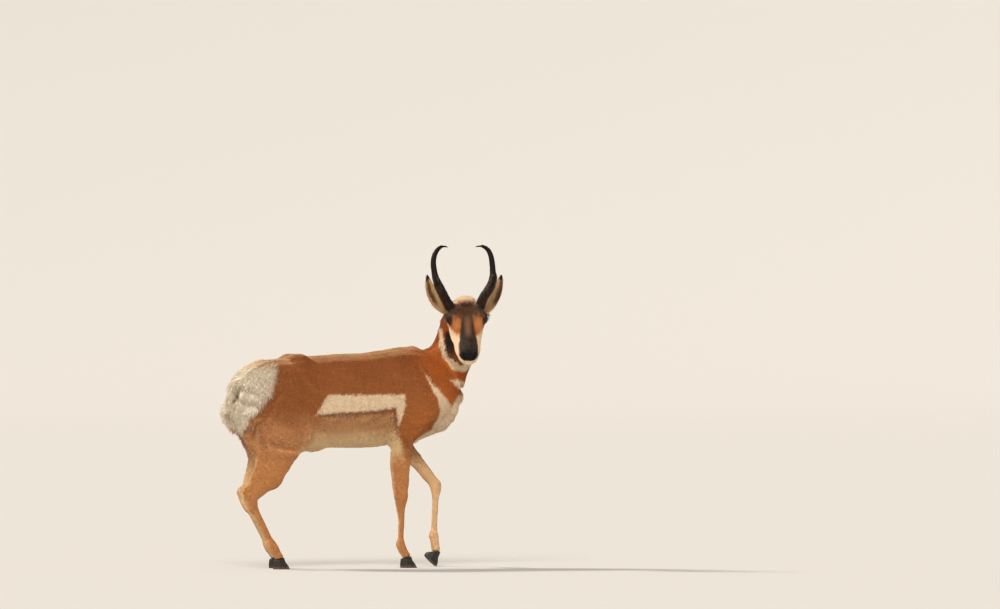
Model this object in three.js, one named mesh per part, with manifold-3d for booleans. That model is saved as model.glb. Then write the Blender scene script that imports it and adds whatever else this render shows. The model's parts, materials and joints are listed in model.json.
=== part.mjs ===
// A pronghorn buck, life size, standing with its head turned to its right.
// Units are millimetres. +X is the way the trunk faces, +Y its left, +Z up, and the floor is z = 0.
import * as THREE from "three";
import { mergeVertices } from "three/addons/utils/BufferGeometryUtils.js";
import Module from "manifold-3d";

const wasm = await Module();
wasm.setup();

// Driving dimensions
const WITHERS = 912; // height of the coat over the shoulder blades
const HIP = 884; // height of the coat over the hip bones
const BELLY = 499; // lowest point of the belly's coat
const CHEST_WIDTH = 280; // across the ribs
const LEG_CUT = 486; // level of the cut between the trunk and the legs, just under the belly
const HEAD_PITCH = 50; // degrees that the face points below the horizon
const HEAD_TURN = -106; // degrees that the head is turned from the trunk's heading, to its right
const HEAD_AT = [502, -146, 1112]; // the back of the skull
const HEAD_LENGTH = 302; // back of the skull to the tip of the nose
const EYE_RADIUS = 21.5;
const HOOF_HEIGHT = 44;
const GAP = 0.3; // left between nodes that touch
const SIDES = { left: 1, right: -1 };

const vec = (x, y, z) => new THREE.Vector3(x, y, z);
const mirrored = ([x, y, z], side) => vec(x, y * side, z);
const radians = THREE.MathUtils.degToRad;

// Smooth curve of values through stations that are sorted by their first entry.
function stationAt(stations, x) {
  const last = stations.length - 1;
  const clamped = THREE.MathUtils.clamp(x, stations[0][0], stations[last][0]);
  let i = 0;
  while (i < last - 1 && stations[i + 1][0] < clamped) i++;
  const [before, from, to, after] = [i - 1, i, i + 1, i + 2].map(
    (j) => stations[THREE.MathUtils.clamp(j, 0, last)],
  );
  const t = (clamped - from[0]) / (to[0] - from[0]);
  return from.map((value, k) => {
    const span = to[0] - from[0];
    const slopeFrom = ((to[k] - before[k]) / (to[0] - before[0] || 1)) * span;
    const slopeTo = ((after[k] - value) / (after[0] - from[0] || 1)) * span;
    const t2 = t * t;
    const t3 = t2 * t;
    return (
      (2 * t3 - 3 * t2 + 1) * value +
      (t3 - 2 * t2 + t) * slopeFrom +
      (3 * t2 - 2 * t3) * to[k] +
      (t3 - t2) * slopeTo
    );
  });
}

// A form along X, from stations of [x, top, bottom, broadest height, half width].
function barrel(stations, roundness) {
  const first = stations[0][0];
  const end = stations[stations.length - 1][0];
  return (p) => {
    const [x, top, bottom, middle, half] = stationAt(stations, p.x);
    const tall = p.z > middle ? top - middle : middle - bottom;
    const reach = Math.pow(
      Math.pow(Math.abs(p.y / half), roundness) +
        Math.pow(Math.abs((p.z - middle) / tall), roundness),
      1 / roundness,
    );
    const away = (reach - 1) * Math.min(half, tall);
    const past = Math.max(first - p.x, p.x - end, 0);
    return past > 0 ? Math.hypot(Math.max(away, 0), past) : away;
  };
}

// A muscle or bone: a tapered capsule between two points, widened sideways by broad.
function muscle(from, to, startRadius, endRadius, broad = 1) {
  const axis = to.clone().sub(from);
  const lengthSq = Math.max(axis.lengthSq(), 1e-6);
  return (p) => {
    const dx = p.x - from.x;
    const dy = p.y - from.y;
    const dz = p.z - from.z;
    const along = (dx * axis.x + dy * axis.y + dz * axis.z) / lengthSq;
    const t = along < 0 ? 0 : along > 1 ? 1 : along;
    const away = Math.hypot(
      dx - axis.x * t,
      (dy - axis.y * t) / broad,
      dz - axis.z * t,
    );
    return (away - (startRadius + (endRadius - startRadius) * t)) * Math.min(1, broad);
  };
}

// Joins forms with a soft crease of the given width.
function blend(forms, width) {
  return (p) => {
    let nearest = Infinity;
    for (const form of forms) {
      const d = form(p);
      const soft = Math.max(width - Math.abs(nearest - d), 0) / width;
      nearest = Math.min(nearest, d) - (soft * soft * width) / 4;
    }
    return nearest;
  };
}

// Trunk: chest, belly, loin and rump
const trunkStations = [
  // x, top, bottom, broadest height, half width
  [-452, HIP - 105, 640, 722, 60],
  [-430, HIP - 92, 596, 718, 85],
  [-395, HIP - 72, 552, 708, 106],
  [-340, HIP - 43, 518, 700, 121],
  [-270, HIP - 16, 510, 692, 127],
  [-210, HIP, 509, 684, 126],
  [-120, HIP + 3, BELLY + 5, 674, 130],
  [0, HIP + 11, BELLY, 668, 137],
  [100, WITHERS - 14, BELLY, 668, CHEST_WIDTH / 2],
  [170, WITHERS - 4, BELLY + 4, 672, 135],
  [225, WITHERS, BELLY + 13, 678, 126],
  [290, WITHERS - 6, BELLY + 30, 690, 114],
  [360, WITHERS - 16, BELLY + 54, 705, 98],
  [430, WITHERS - 28, BELLY + 88, 722, 80],
  [482, WITHERS - 72, BELLY + 124, 728, 60],
];
const trunkForm = barrel(trunkStations, 2.15);

const trunkMuscles = [
  muscle(vec(430, 0, 690), vec(476, 0, 728), 72, 62, 0.92), // breast
  muscle(vec(330, 0, 575), vec(440, 0, 625), 34, 44, 0.8), // brisket
  muscle(vec(-185, 0, 512), vec(-120, 0, 500), 20, 13, 0.8), // sheath
];

function trunkSideMuscles(side) {
  const at = (x, y, z) => vec(x, y * side, z);
  return [
    muscle(at(-235, 62, 805), at(-350, 66, 775), 70, 72, 0.85), // croup
    muscle(at(-225, 78, 838), at(-205, 72, 842), 26, 30), // hip bone
    muscle(at(70, 96, 690), at(-60, 94, 640), 62, 66, 0.85), // ribs
  ];
}

// Neck, from the breast to the poll
const neckForms = [
  muscle(vec(325, 0, 790), vec(440, 0, 802), 106, 99, 0.84),
  muscle(vec(440, 0, 802), vec(496, -8, 880), 97, 85, 0.86),
  muscle(vec(496, -8, 880), vec(507, -36, 958), 85, 70, 0.92),
  muscle(vec(507, -36, 958), vec(503, -78, 1030), 70, 60),
  muscle(vec(503, -78, 1030), vec(500, -122, 1068), 60, 50),
];

// Legs. Each is its joints, then the muscles and bones hung on them.
const legJoints = {
  fore_right: {
    shoulder: [385, 96, 690],
    elbow: [256, 90, 552],
    knee: [247, 80, 300],
    fetlock: [240, 80, 92],
    coronet: [268, 80, HOOF_HEIGHT],
    hoofPitch: 0,
  },
  fore_left: {
    shoulder: [400, 92, 690],
    elbow: [300, 86, 534],
    knee: [464, 84, 340],
    fetlock: [454, 84, 126],
    coronet: [464, 84, 63],
    hoofPitch: 44,
  },
  hind_right: {
    hip: [-290, 76, 745],
    stifle: [-216, 102, 530],
    hock: [-436, 94, 290],
    fetlock: [-333, 92, 92],
    coronet: [-303, 92, HOOF_HEIGHT],
    hoofPitch: 0,
  },
  hind_left: {
    hip: [-285, 76, 745],
    stifle: [-186, 102, 530],
    hock: [-386, 94, 288],
    fetlock: [-282, 92, 92],
    coronet: [-252, 92, HOOF_HEIGHT],
    hoofPitch: 0,
  },
};
const sideOf = (leg) => SIDES[leg.split("_")[1]];

function jointsOf(leg) {
  const { hoofPitch, ...points } = legJoints[leg];
  const side = sideOf(leg);
  return Object.fromEntries(
    Object.entries(points).map(([name, at]) => [name, mirrored(at, side)]),
  );
}

const offset = (point, x, y, z) => point.clone().add(vec(x, y, z));

// A point on the way from one joint towards another, a distance along
const toward = (from, to, distance) =>
  from.clone().addScaledVector(to.clone().sub(from).normalize(), distance);

function foreLegForm(leg) {
  const side = sideOf(leg);
  const { shoulder, elbow, knee, fetlock, coronet } = jointsOf(leg);
  return blend(
    [
      muscle(vec(262, 66 * side, 838), offset(shoulder, -15, -6 * side, 10), 42, 54, 0.62),
      muscle(shoulder, offset(elbow, 12, 0, 18), 58, 50, 0.7),
      muscle(vec(208, 84 * side, 720), offset(elbow, -22, 0, 14), 62, 42, 0.62),
      muscle(offset(elbow, 0, 0, -6), toward(knee, elbow, 62), 46, 28, 0.74),
      muscle(toward(knee, elbow, 62), knee, 26, 24, 0.86),
      muscle(knee, toward(knee, fetlock, 26), 25, 20, 0.92),
      muscle(knee, fetlock, 16.5, 15, 0.86),
      muscle(offset(fetlock, -4, 0, 5), fetlock, 18, 19, 0.98),
      muscle(fetlock, coronet, 17, 21, 1.06),
    ],
    14,
  );
}

function hindLegForm(leg) {
  const side = sideOf(leg);
  const { hip, stifle, hock, fetlock, coronet } = jointsOf(leg);
  const heel = offset(hock, -42, 0, 32); // the point of the hock
  const calf = offset(stifle, -126, -6 * side, -146);
  return blend(
    [
      muscle(hip, offset(stifle, -2, -20 * side, 26), 104, 70, 0.6), // thigh
      muscle(offset(hip, -92, -6 * side, -8), offset(stifle, -136, -14 * side, 18), 76, 50, 0.72),
      muscle(offset(stifle, 16, -6 * side, 6), offset(stifle, -2, 0, -26), 44, 40, 0.7), // knee cap
      muscle(offset(stifle, 24, -30 * side, 24), offset(stifle, 70, -50 * side, 60), 26, 24, 0.7),
      muscle(offset(stifle, -50, -6 * side, -22), calf, 72, 52, 0.56), // gaskin
      muscle(calf, offset(hock, 12, 0, 30), 50, 28, 0.6),
      muscle(offset(stifle, -160, -8 * side, -40), toward(heel, calf, 26), 24, 12, 0.66), // hamstring tendon
      muscle(heel, hock, 14, 22, 0.78),
      muscle(offset(hock, 6, 0, 20), offset(hock, 8, 0, -28), 26, 22, 0.82),
      muscle(hock, fetlock, 19, 16, 0.84),
      muscle(offset(fetlock, -4, 0, 5), fetlock, 19, 20, 0.98),
      muscle(fetlock, coronet, 17.5, 21.5, 1.06),
    ],
    16,
  );
}

const legForms = Object.fromEntries(
  Object.keys(legJoints).map((leg) => [
    leg,
    leg.startsWith("fore") ? foreLegForm(leg) : hindLegForm(leg),
  ]),
);

// The head in its own frame: x along the face from the back of the skull, y left, z up out of the face.
const headFrame = new THREE.Group();
headFrame.position.set(...HEAD_AT);
headFrame.rotation.set(0, radians(HEAD_PITCH), radians(HEAD_TURN), "ZYX");
headFrame.updateMatrixWorld(true);
const intoHead = headFrame.matrixWorld.clone().invert();
const toWorld = (point) => point.clone().applyMatrix4(headFrame.matrixWorld);

const headStations = [
  // x, top, bottom, broadest height, half width
  [-22, 2, -58, -20, 36],
  [0, 20, -76, -18, 50],
  [30, 34, -90, -20, 62],
  [62, 39, -98, -24, 68],
  [95, 38, -100, -28, 71],
  [125, 33, -97, -32, 71],
  [150, 28, -91, -35, 67],
  [180, 24, -84, -36, 59],
  [205, 21, -79, -36, 51],
  [230, 17, -76, -36, 45],
  [255, 13, -75, -36, 40.5],
  [275, 6, -74, -36, 38.5],
  [290, -4, -68, -36, 33],
  [HEAD_LENGTH, -18, -54, -36, 22],
];
const EYE = [108, 67, 18]; // centre of an eye in the head's frame
const MOUTH_HEIGHT = -52;

function headSideMuscles(side) {
  const at = (x, y, z) => vec(x, y * side, z);
  return [
    muscle(at(EYE[0] - 3, 50, EYE[2] - 2), at(EYE[0] + 5, 50, EYE[2] - 3), 36, 35), // orbit
    muscle(at(EYE[0] - 20, 62, EYE[2] + 17), at(EYE[0] + 14, 64, EYE[2] + 20), 10, 9), // brow
    muscle(at(75, 46, -42), at(150, 40, -66), 29, 25, 0.8), // jaw muscle
    muscle(at(96, 62, -16), at(186, 42, -30), 14, 9), // cheek bone
    muscle(at(266, 24, -10), at(286, 21, -12), 13, 11), // nostril wing
    muscle(at(228, 24, -40), at(288, 15, -42), 14, 12), // upper lip
    muscle(at(38, 62, 2), at(52, 62, 0), 20, 18), // root of the ear
    muscle(at(62, 52, 34), at(74, 54, 34), 19, 18), // root of the horn
  ];
}

const headForm = blend(
  [
    barrel(headStations, 2.25),
    ...headSideMuscles(1),
    ...headSideMuscles(-1),
    muscle(vec(215, 0, -64), vec(282, 0, -61), 18, 14, 1.2), // chin
    muscle(vec(18, 0, 16), vec(60, 0, 24), 22, 18, 1.8), // crown
  ],
  13,
);

// The whole skin as one field: below 0 inside, above 0 outside
const limbForms = blend(Object.values(legForms), 26);
const bodyForm = blend(
  [
    blend([trunkForm, ...trunkMuscles, ...trunkSideMuscles(1), ...trunkSideMuscles(-1)], 60),
    blend(neckForms, 40),
  ],
  70,
);
const skin = (p) => {
  const trunk = bodyForm(p);
  const limb = limbForms(p);
  const head = headForm(p.clone().applyMatrix4(intoHead));
  return blend([() => trunk, () => limb, () => head], 34)(p);
};

// A plane that divides two nodes: the side that its normal points to is "beyond" it
const plane = (point, normal) => ({ point, normal: normal.clone().normalize() });
const beyond = (p, { point, normal }) => p.clone().sub(point).dot(normal);
const legPlane = plane(vec(0, 0, LEG_CUT), vec(0, 0, -1));
const neckPlane = plane(vec(450, 0, 842), vec(0.8, 0, 0.6));
const headCut = plane(vec(38, 0, -30), vec(0.81, 0, 0.59)); // in the head's frame
const headPlane = plane(
  toWorld(headCut.point),
  headCut.normal.clone().transformDirection(headFrame.matrixWorld),
);
const CHEST_PLANE_X = 112;
const RUMP_PLANE_X = -168;

// Distance from a point along a ray to where the field turns positive
function reach(field, from, direction, limit = 600) {
  const p = vec();
  let near = 0;
  let far = 0;
  for (;;) {
    const d = field(p.copy(from).addScaledVector(direction, far));
    if (d > 0 || far > limit) break;
    near = far;
    far += Math.max(-0.7 * d, 0.6);
  }
  for (let i = 0; i < 14; i++) {
    const middle = (near + far) / 2;
    if (field(p.copy(from).addScaledVector(direction, middle)) > 0) far = middle;
    else near = middle;
  }
  return Math.max(near, 0.5);
}

// A closed solid whose rings are rows of points, with a pole at each end.
// leans tells which way a quad is split, so that both faces of a thin vane can match.
function solidFromRings(rings, startPole, endPole, leans = () => false) {
  const points = [startPole, ...rings.flat(), endPole];
  const around = rings[0].length;
  const at = (ring, k) => 1 + ring * around + (k % around);
  const faces = [];
  for (let k = 0; k < around; k++) faces.push(0, at(0, k + 1), at(0, k));
  for (let i = 0; i + 1 < rings.length; i++)
    for (let k = 0; k < around; k++) {
      const [a, b, c, d] = [at(i, k), at(i, k + 1), at(i + 1, k + 1), at(i + 1, k)];
      if (leans(k)) faces.push(a, b, d, b, c, d);
      else faces.push(a, b, c, a, c, d);
    }
  const end = points.length - 1;
  for (let k = 0; k < around; k++)
    faces.push(end, at(rings.length - 1, k), at(rings.length - 1, k + 1));
  const geometry = new THREE.BufferGeometry().setFromPoints(points).setIndex(faces);
  return solidOf(geometry);
}

// A three.js geometry as a solid for joining and cutting
function solidOf(geometry) {
  const bare = geometry.clone();
  bare.deleteAttribute("normal");
  bare.deleteAttribute("uv");
  const merged = mergeVertices(bare, 1e-3);
  const triVerts = new Uint32Array(merged.index.array);
  const make = () =>
    new wasm.Manifold(
      new wasm.Mesh({
        numProp: 3,
        vertProperties: new Float32Array(merged.attributes.position.array),
        triVerts,
      }),
    );
  const made = make();
  if (made.volume() > 0) return made;
  for (let i = 0; i < triVerts.length; i += 3)
    [triVerts[i + 1], triVerts[i + 2]] = [triVerts[i + 2], triVerts[i + 1]];
  return make();
}

// The unit directions of a ring about a line's tangent, starting from the reference direction
function ringDirections(tangent, reference, sides) {
  const across = reference.clone().addScaledVector(tangent, -reference.dot(tangent)).normalize();
  const up = tangent.clone().cross(across);
  return Array.from({ length: sides }, (_, k) => {
    const angle = (2 * Math.PI * k) / sides;
    return across.clone().multiplyScalar(Math.cos(angle)).addScaledVector(up, Math.sin(angle));
  });
}

// The skin seen from a line inside it: rings of rays run out to the field's surface.
// Each end is closed by rings that swing round to the line's own direction.
function castTube({ line, field, rings, sides, reference, startCap = 4, endCap = 4 }) {
  const curve = new THREE.CatmullRomCurve3(line, false, "centripetal");
  const rows = [];
  const cast = (centre, tangent, tilt) =>
    ringDirections(tangent, reference, sides).map((direction) => {
      const ray = direction
        .multiplyScalar(Math.cos(tilt))
        .addScaledVector(tangent, Math.sin(tilt));
      return centre.clone().addScaledVector(ray, reach(field, centre, ray));
    });
  const swing = (i, n) => ((i / n) * Math.PI) / 2;
  const [start, end] = [0, 1].map((t) => [curve.getPointAt(t), curve.getTangentAt(t)]);
  for (let i = startCap - 1; i > 0; i--) rows.push(cast(...start, -swing(i, startCap)));
  for (let i = 0; i <= rings; i++) {
    const t = i / rings;
    rows.push(cast(curve.getPointAt(t), curve.getTangentAt(t), 0));
  }
  for (let i = 1; i < endCap; i++) rows.push(cast(...end, swing(i, endCap)));
  const pole = ([centre, tangent], sign) => {
    const ray = tangent.clone().multiplyScalar(sign);
    return centre.clone().addScaledVector(ray, reach(field, centre, ray));
  };
  return solidFromRings(rows, pole(start, -1), pole(end, 1));
}

// Keeps the part of a solid on one side of a plane, half a gap back from it
function trimmed(solid, cut, keepBeyond) {
  const sign = keepBeyond ? 1 : -1;
  const normal = cut.normal.clone().multiplyScalar(sign);
  return solid.trimByPlane(normal.toArray(), normal.dot(cut.point) + GAP / 2);
}

// The field, ended a little past some planes so that no ray runs on into the next node
const within = (field, margin, ...limits) => (p) =>
  Math.max(
    field(p),
    ...limits.map(([cut, keepBeyond]) => (keepBeyond ? -1 : 1) * beyond(p, cut) - margin),
  );

const largest = (solid) =>
  solid.decompose().reduce((best, piece) => (piece.volume() > best.volume() ? piece : best));

// A closed tube of elliptical rings along a curve. Its stations are [along 0 to 1, half across, half deep].
// facing is the direction that "across" starts from.
function loft({ points, stations, rings, sides, facing, shape = () => 1 }) {
  const curve = new THREE.CatmullRomCurve3(points, false, "centripetal");
  const rows = Array.from({ length: rings + 1 }, (_, i) => {
    const t = i / rings;
    const [, across, deep] = stationAt(stations, t);
    const centre = curve.getPointAt(t);
    const tangent = curve.getTangentAt(t);
    const side = facing.clone().addScaledVector(tangent, -facing.dot(tangent)).normalize();
    const up = tangent.clone().cross(side);
    return Array.from({ length: sides }, (_, k) => {
      const angle = (2 * Math.PI * k) / sides;
      const swell = shape(t, angle);
      return centre
        .clone()
        .addScaledVector(side, across * swell * Math.cos(angle))
        .addScaledVector(up, deep * swell * Math.sin(angle));
    });
  });
  return solidFromRings(rows, curve.getPointAt(0), curve.getPointAt(1));
}

// The direction in which a field grows at a point: the outward normal of its surface
function normalOf(field, p) {
  const step = 4;
  const slope = (dx, dy, dz) =>
    field(vec(p.x + dx, p.y + dy, p.z + dz)) - field(vec(p.x - dx, p.y - dy, p.z - dz));
  return vec(slope(step, 0, 0), slope(0, step, 0), slope(0, 0, step)).normalize();
}

// A flat, tapered lock of hair rooted on a field's surface where a ray from inside meets it.
// flow is the way it lies, and lift how far it stands off the skin for each unit of its length.
function lock({ field, from, ray, flow, length, width, thick, lift }) {
  const direction = ray.clone().normalize();
  const root = from.clone().addScaledVector(direction, reach(field, from, direction));
  const normal = normalOf(field, root);
  const lie = flow.clone().addScaledVector(normal, -flow.dot(normal)).normalize();
  const at = (along, up) =>
    root.clone().addScaledVector(lie, along * length).addScaledVector(normal, up * length);
  return loft({
    points: [at(-0.2, -0.24), at(0.25, lift * 0.6), at(0.65, lift * 1.05), at(1, lift * 0.95)],
    stations: [
      [0, width * 0.36, thick * 0.5],
      [0.45, width * 0.5, thick * 0.5],
      [0.8, width * 0.3, thick * 0.36],
      [1, 0.9, 0.5],
    ],
    rings: 3,
    sides: 4,
    facing: normal.clone().cross(lie),
  });
}

// Evenly spread numbers that always come out the same
function seededRandom(seed) {
  let state = seed;
  return () => {
    state = (state * 1664525 + 1013904223) % 4294967296;
    return state / 4294967296;
  };
}

// Grows rows of locks out of a solid. place gives each lock's ray and lie from its row and its place in it.
function withLocks(solid, { field, rows, perRow, place, seed, length, width, thick, lift }) {
  const random = seededRandom(seed);
  const vary = (value, spread) => value * (1 + spread * (random() - 0.5));
  let coated = solid;
  for (let row = 0; row < rows; row++)
    for (let k = 0; k < perRow; k++) {
      const across = (k + 0.5 + (row % 2 ? 0.22 : -0.22) + (random() - 0.5) * 0.24) / perRow;
      const spot = place((row + 0.5) / rows, across);
      coated = coated.add(
        lock({
          field,
          ...spot,
          length: vary(length, 0.3),
          width: vary(width, 0.25),
          thick,
          lift: vary(lift, 0.3),
        }),
      );
    }
  return coated;
}

const nodes = {};

// The long white hair on each side of the tail, which hangs down and outwards
const rumpHair = (side) => ({
  field: skin,
  rows: 4,
  perRow: 3,
  seed: 11 + side,
  length: 84,
  width: 48,
  thick: 6,
  lift: 0.26,
  place: (down, out) => ({
    from: vec(-335, 20 * side, 775 - 165 * down),
    ray: vec(-1, side * (0.12 + 1.3 * out), 0.3 - 0.4 * down),
    flow: vec(-0.5, 0.34 * side, -1),
  }),
});

// The ragged hair that hangs from the breast and brisket
const breastHair = {
  field: skin,
  rows: 3,
  perRow: 4,
  seed: 5,
  length: 62,
  width: 38,
  thick: 6,
  lift: 0.24,
  place: (down, across) => ({
    from: vec(400, 0, 730),
    ray: vec(1, 1.1 * (across - 0.5), 0.25 - 1.3 * down),
    flow: vec(-0.25, 0, -1),
  }),
};

// The short mane down the back of the neck
const maneHair = {
  field: skin,
  rows: 5,
  perRow: 2,
  seed: 23,
  length: 54,
  width: 30,
  thick: 5,
  lift: 0.34,
  place: (down, across) => ({
    from: vec(503 - 20 * down, -88 + 82 * down, 1040 - 150 * down),
    ray: vec(-0.8, 1 - 0.7 * down + 0.7 * (across - 0.5), 0.35 + 0.2 * (across - 0.5)),
    flow: vec(-0.2, 0.35, -1),
  }),
};

// Trunk in three lengths: chest, belly and haunches
function makeTrunk() {
  const whole = castTube({
    line: [vec(-372, 0, 706), vec(-200, 0, 700), vec(100, 0, 700), vec(392, 0, 716)],
    field: within(skin, 16, [legPlane, false], [neckPlane, false]),
    rings: 24,
    sides: 30,
    reference: vec(0, 0, 1),
    startCap: 6,
    endCap: 6,
  });
  const trunk = trimmed(trimmed(whole, legPlane, false), neckPlane, false);
  const chestPlane = plane(vec(CHEST_PLANE_X, 0, 700), vec(1, 0, 0));
  const rumpPlane = plane(vec(RUMP_PLANE_X, 0, 700), vec(-1, 0, 0));
  const chest = trimmed(withLocks(trimmed(trunk, chestPlane, true), breastHair), neckPlane, false);
  nodes.chest = trimmed(chest, legPlane, false);
  nodes.belly = trimmed(trimmed(trunk, chestPlane, false), rumpPlane, false);
  let haunches = trimmed(trimmed(trunk, rumpPlane, true), tailPlane, false);
  for (const side of Object.values(SIDES)) haunches = withLocks(haunches, rumpHair(side));
  nodes.haunches = trimmed(haunches, legPlane, false);
}

function makeNeck() {
  const whole = castTube({
    line: [
      vec(446, 0, 834),
      vec(472, -4, 866),
      vec(497, -20, 918),
      vec(505, -56, 990),
      vec(503, -96, 1042),
    ],
    field: within(skin, 16, [neckPlane, true], [headPlane, false]),
    rings: 12,
    sides: 22,
    reference: vec(0, 1, 0),
  });
  nodes.neck = Object.values(SIDES).reduce(
    (neck, side) => neck.subtract(earSeat(side).transform(headFrame.matrixWorld.toArray())),
    trimmed(trimmed(withLocks(whole, maneHair), neckPlane, true), headPlane, false),
  );
}

// The tail hangs from a small flat on the rump
const TAIL_ROOT = vec(-449, 0, 782);
const tailPlane = plane(TAIL_ROOT, vec(-0.97, 0, 0.24));
const tailCore = muscle(offset(TAIL_ROOT, -30, 0, -46), offset(TAIL_ROOT, -41, 0, -122), 13, 9, 1.6);
const tailHair = {
  field: tailCore,
  rows: 2,
  perRow: 3,
  seed: 31,
  length: 46,
  width: 22,
  thick: 4,
  lift: 0.16,
  place: (down, around) => ({
    from: offset(TAIL_ROOT, -30 - 10 * down, 0, -46 - 76 * down),
    ray: vec(-0.9, 2.4 * (around - 0.5), 0.1),
    flow: vec(-0.12, 0, -1),
  }),
};
function makeTail() {
  const tail = loft({
    points: [
      offset(TAIL_ROOT, 14, 0, 6),
      offset(TAIL_ROOT, -12, 0, -8),
      offset(TAIL_ROOT, -32, 0, -46),
      offset(TAIL_ROOT, -40, 0, -94),
      offset(TAIL_ROOT, -42, 0, -138),
    ],
    stations: [[0, 17, 13], [0.3, 21, 14], [0.6, 23, 13], [0.85, 15, 9], [1, 3, 2.5]],
    rings: 7,
    sides: 8,
    facing: vec(0, 1, 0),
  });
  nodes.tail = trimmed(withLocks(tail, tailHair), tailPlane, true);
}

// Each leg is cut across above the knee or hock
const squareTo = (from, to) => to.clone().sub(from).setY(0).normalize().add(vec(0, 0, -1));

function footPlaneOf(leg) {
  const { fetlock, coronet } = jointsOf(leg);
  return plane(coronet, squareTo(fetlock, coronet));
}

function legLine(leg) {
  const { elbow, knee, stifle, hock } = jointsOf(leg);
  if (elbow) {
    const top = elbow.clone().lerp(knee, (elbow.z - LEG_CUT - 8) / (elbow.z - knee.z));
    return [top, top.clone().lerp(knee, 0.5), knee];
  }
  const side = sideOf(leg);
  return [
    offset(stifle, -70, -6 * side, LEG_CUT + 10 - stifle.z),
    offset(stifle, -88, -6 * side, LEG_CUT - 42 - stifle.z),
    offset(stifle, -128, -4 * side, -148),
    hock,
  ];
}

function makeLeg(leg) {
  const { fetlock, coronet } = jointsOf(leg);
  const isFore = leg.startsWith("fore");
  const line = legLine(leg);
  const middle = line[line.length - 1];
  const above = line[line.length - 2];
  const jointPlane = plane(toward(middle, above, isFore ? 34 : 68), squareTo(above, middle));
  const upper = castTube({
    line: [...line.slice(0, -1), toward(middle, above, isFore ? 20 : 54)],
    field: within(skin, 16, [legPlane, true], [jointPlane, false]),
    rings: isFore ? 7 : 10,
    sides: 16,
    reference: vec(0, 1, 0),
    startCap: 3,
    endCap: 3,
  });
  nodes[`${leg}_upper`] = trimmed(trimmed(upper, legPlane, true), jointPlane, false);
  const lower = castTube({
    line: [
      toward(middle, above, isFore ? 26 : 60),
      offset(middle, isFore ? 0 : 2, 0, -4),
      middle.clone().lerp(fetlock, 0.5),
      fetlock,
      coronet,
    ],
    field: within(skin, 12, [jointPlane, true]),
    rings: isFore ? 13 : 14,
    sides: 11,
    reference: vec(0, 1, 0),
    startCap: 3,
    endCap: 3,
  });
  nodes[`${leg}_lower`] = trimmed(trimmed(lower, jointPlane, true), footPlaneOf(leg), false);
}

// One claw of a cloven hoof in its own frame: the middle of its top is the origin and the toe is towards +x
const HOOF_LENGTH = 72;
const CLAW_WIDTH = 25;
const CLEFT = 1.2;

function clawSolid(outward) {
  const levels = [
    // height, heel x, toe x, width
    [-HOOF_HEIGHT - 2, -27, HOOF_LENGTH - 27, CLAW_WIDTH],
    [-HOOF_HEIGHT + 14, -28, HOOF_LENGTH - 35, CLAW_WIDTH + 0.5],
    [-14, -26, HOOF_LENGTH - 48, CLAW_WIDTH - 1],
    [8, -22, HOOF_LENGTH - 56, CLAW_WIDTH - 4],
  ];
  const around = 10;
  const rows = levels.map(([z, heel, toe, width]) =>
    Array.from({ length: around }, (_, k) => {
      const angle = (2 * Math.PI * k) / around;
      const along = Math.cos(angle);
      const bow = Math.sin(angle) * (1 - 0.45 * Math.max(along, 0));
      const x = (heel + toe) / 2 + ((toe - heel) / 2) * along;
      const y = bow > 0 ? bow * width * 0.74 : bow * width * 0.26;
      return vec(x, y * outward, z);
    }),
  );
  const centre = (i) => vec((levels[i][1] + levels[i][2]) / 2, 0, levels[i][0]);
  return solidFromRings(rows, centre(0), centre(levels.length - 1));
}

function makeHooves(leg) {
  const { coronet } = jointsOf(leg);
  const side = sideOf(leg);
  const floor = plane(vec(0, 0, -GAP / 2), vec(0, 0, 1));
  for (const [name, outward] of [["outer", side], ["inner", -side]]) {
    const place = new THREE.Matrix4()
      .makeRotationY(radians(legJoints[leg].hoofPitch))
      .setPosition(coronet.x, coronet.y + outward * (CLAW_WIDTH * 0.26 + CLEFT / 2), coronet.z);
    const claw = clawSolid(outward).transform(place.toArray());
    nodes[`${leg}_hoof_${name}`] = trimmed(trimmed(claw, floor, true), footPlaneOf(leg), true);
  }
}

// Head, eyes and lids, in the head's frame
const EYE_TILT = 18; // degrees that an eye's front corner is raised from the line of the face

function eyeOpening(side) {
  return new THREE.SphereGeometry(1, 14, 8)
    .rotateZ(Math.PI / 2)
    .scale(18.5, 13, 11.5)
    .rotateY(radians(-EYE_TILT))
    .translate(EYE[0] + 1, (EYE[1] + EYE_RADIUS - 3) * side, EYE[2] - 1);
}

// A lid's rim: an arc that hugs the eyeball over or under its opening
function lidRim(side, isUpper) {
  const eye = mirrored(EYE, side);
  const bend = isUpper ? 1 : -0.78;
  const points = Array.from({ length: 7 }, (_, i) => {
    const angle = Math.PI * (i / 6);
    const along = -Math.cos(angle) * 19;
    const rise = Math.sin(angle) * 13 * bend;
    const turn = radians(EYE_TILT);
    const x = along * Math.cos(turn) - rise * Math.sin(turn);
    const z = along * Math.sin(turn) + rise * Math.cos(turn);
    const out = Math.sqrt(Math.max((EYE_RADIUS + 1.4) ** 2 - x * x - z * z, 1));
    return offset(eye, x + 1, out * side, z - 1);
  });
  const thick = isUpper ? 3.4 : 2.6;
  return loft({
    points,
    stations: [[0, 1.6, 1.4], [0.5, thick, thick * 0.8], [1, 1.6, 1.4]],
    rings: 7,
    sides: 6,
    facing: vec(0, side, 0.3),
  });
}

function nostril(side) {
  return new THREE.SphereGeometry(1, 10, 6)
    .scale(10, 8, 3.6)
    .rotateZ(radians(-30 * side))
    .rotateY(radians(42))
    .translate(292, 20 * side, -10);
}

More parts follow.
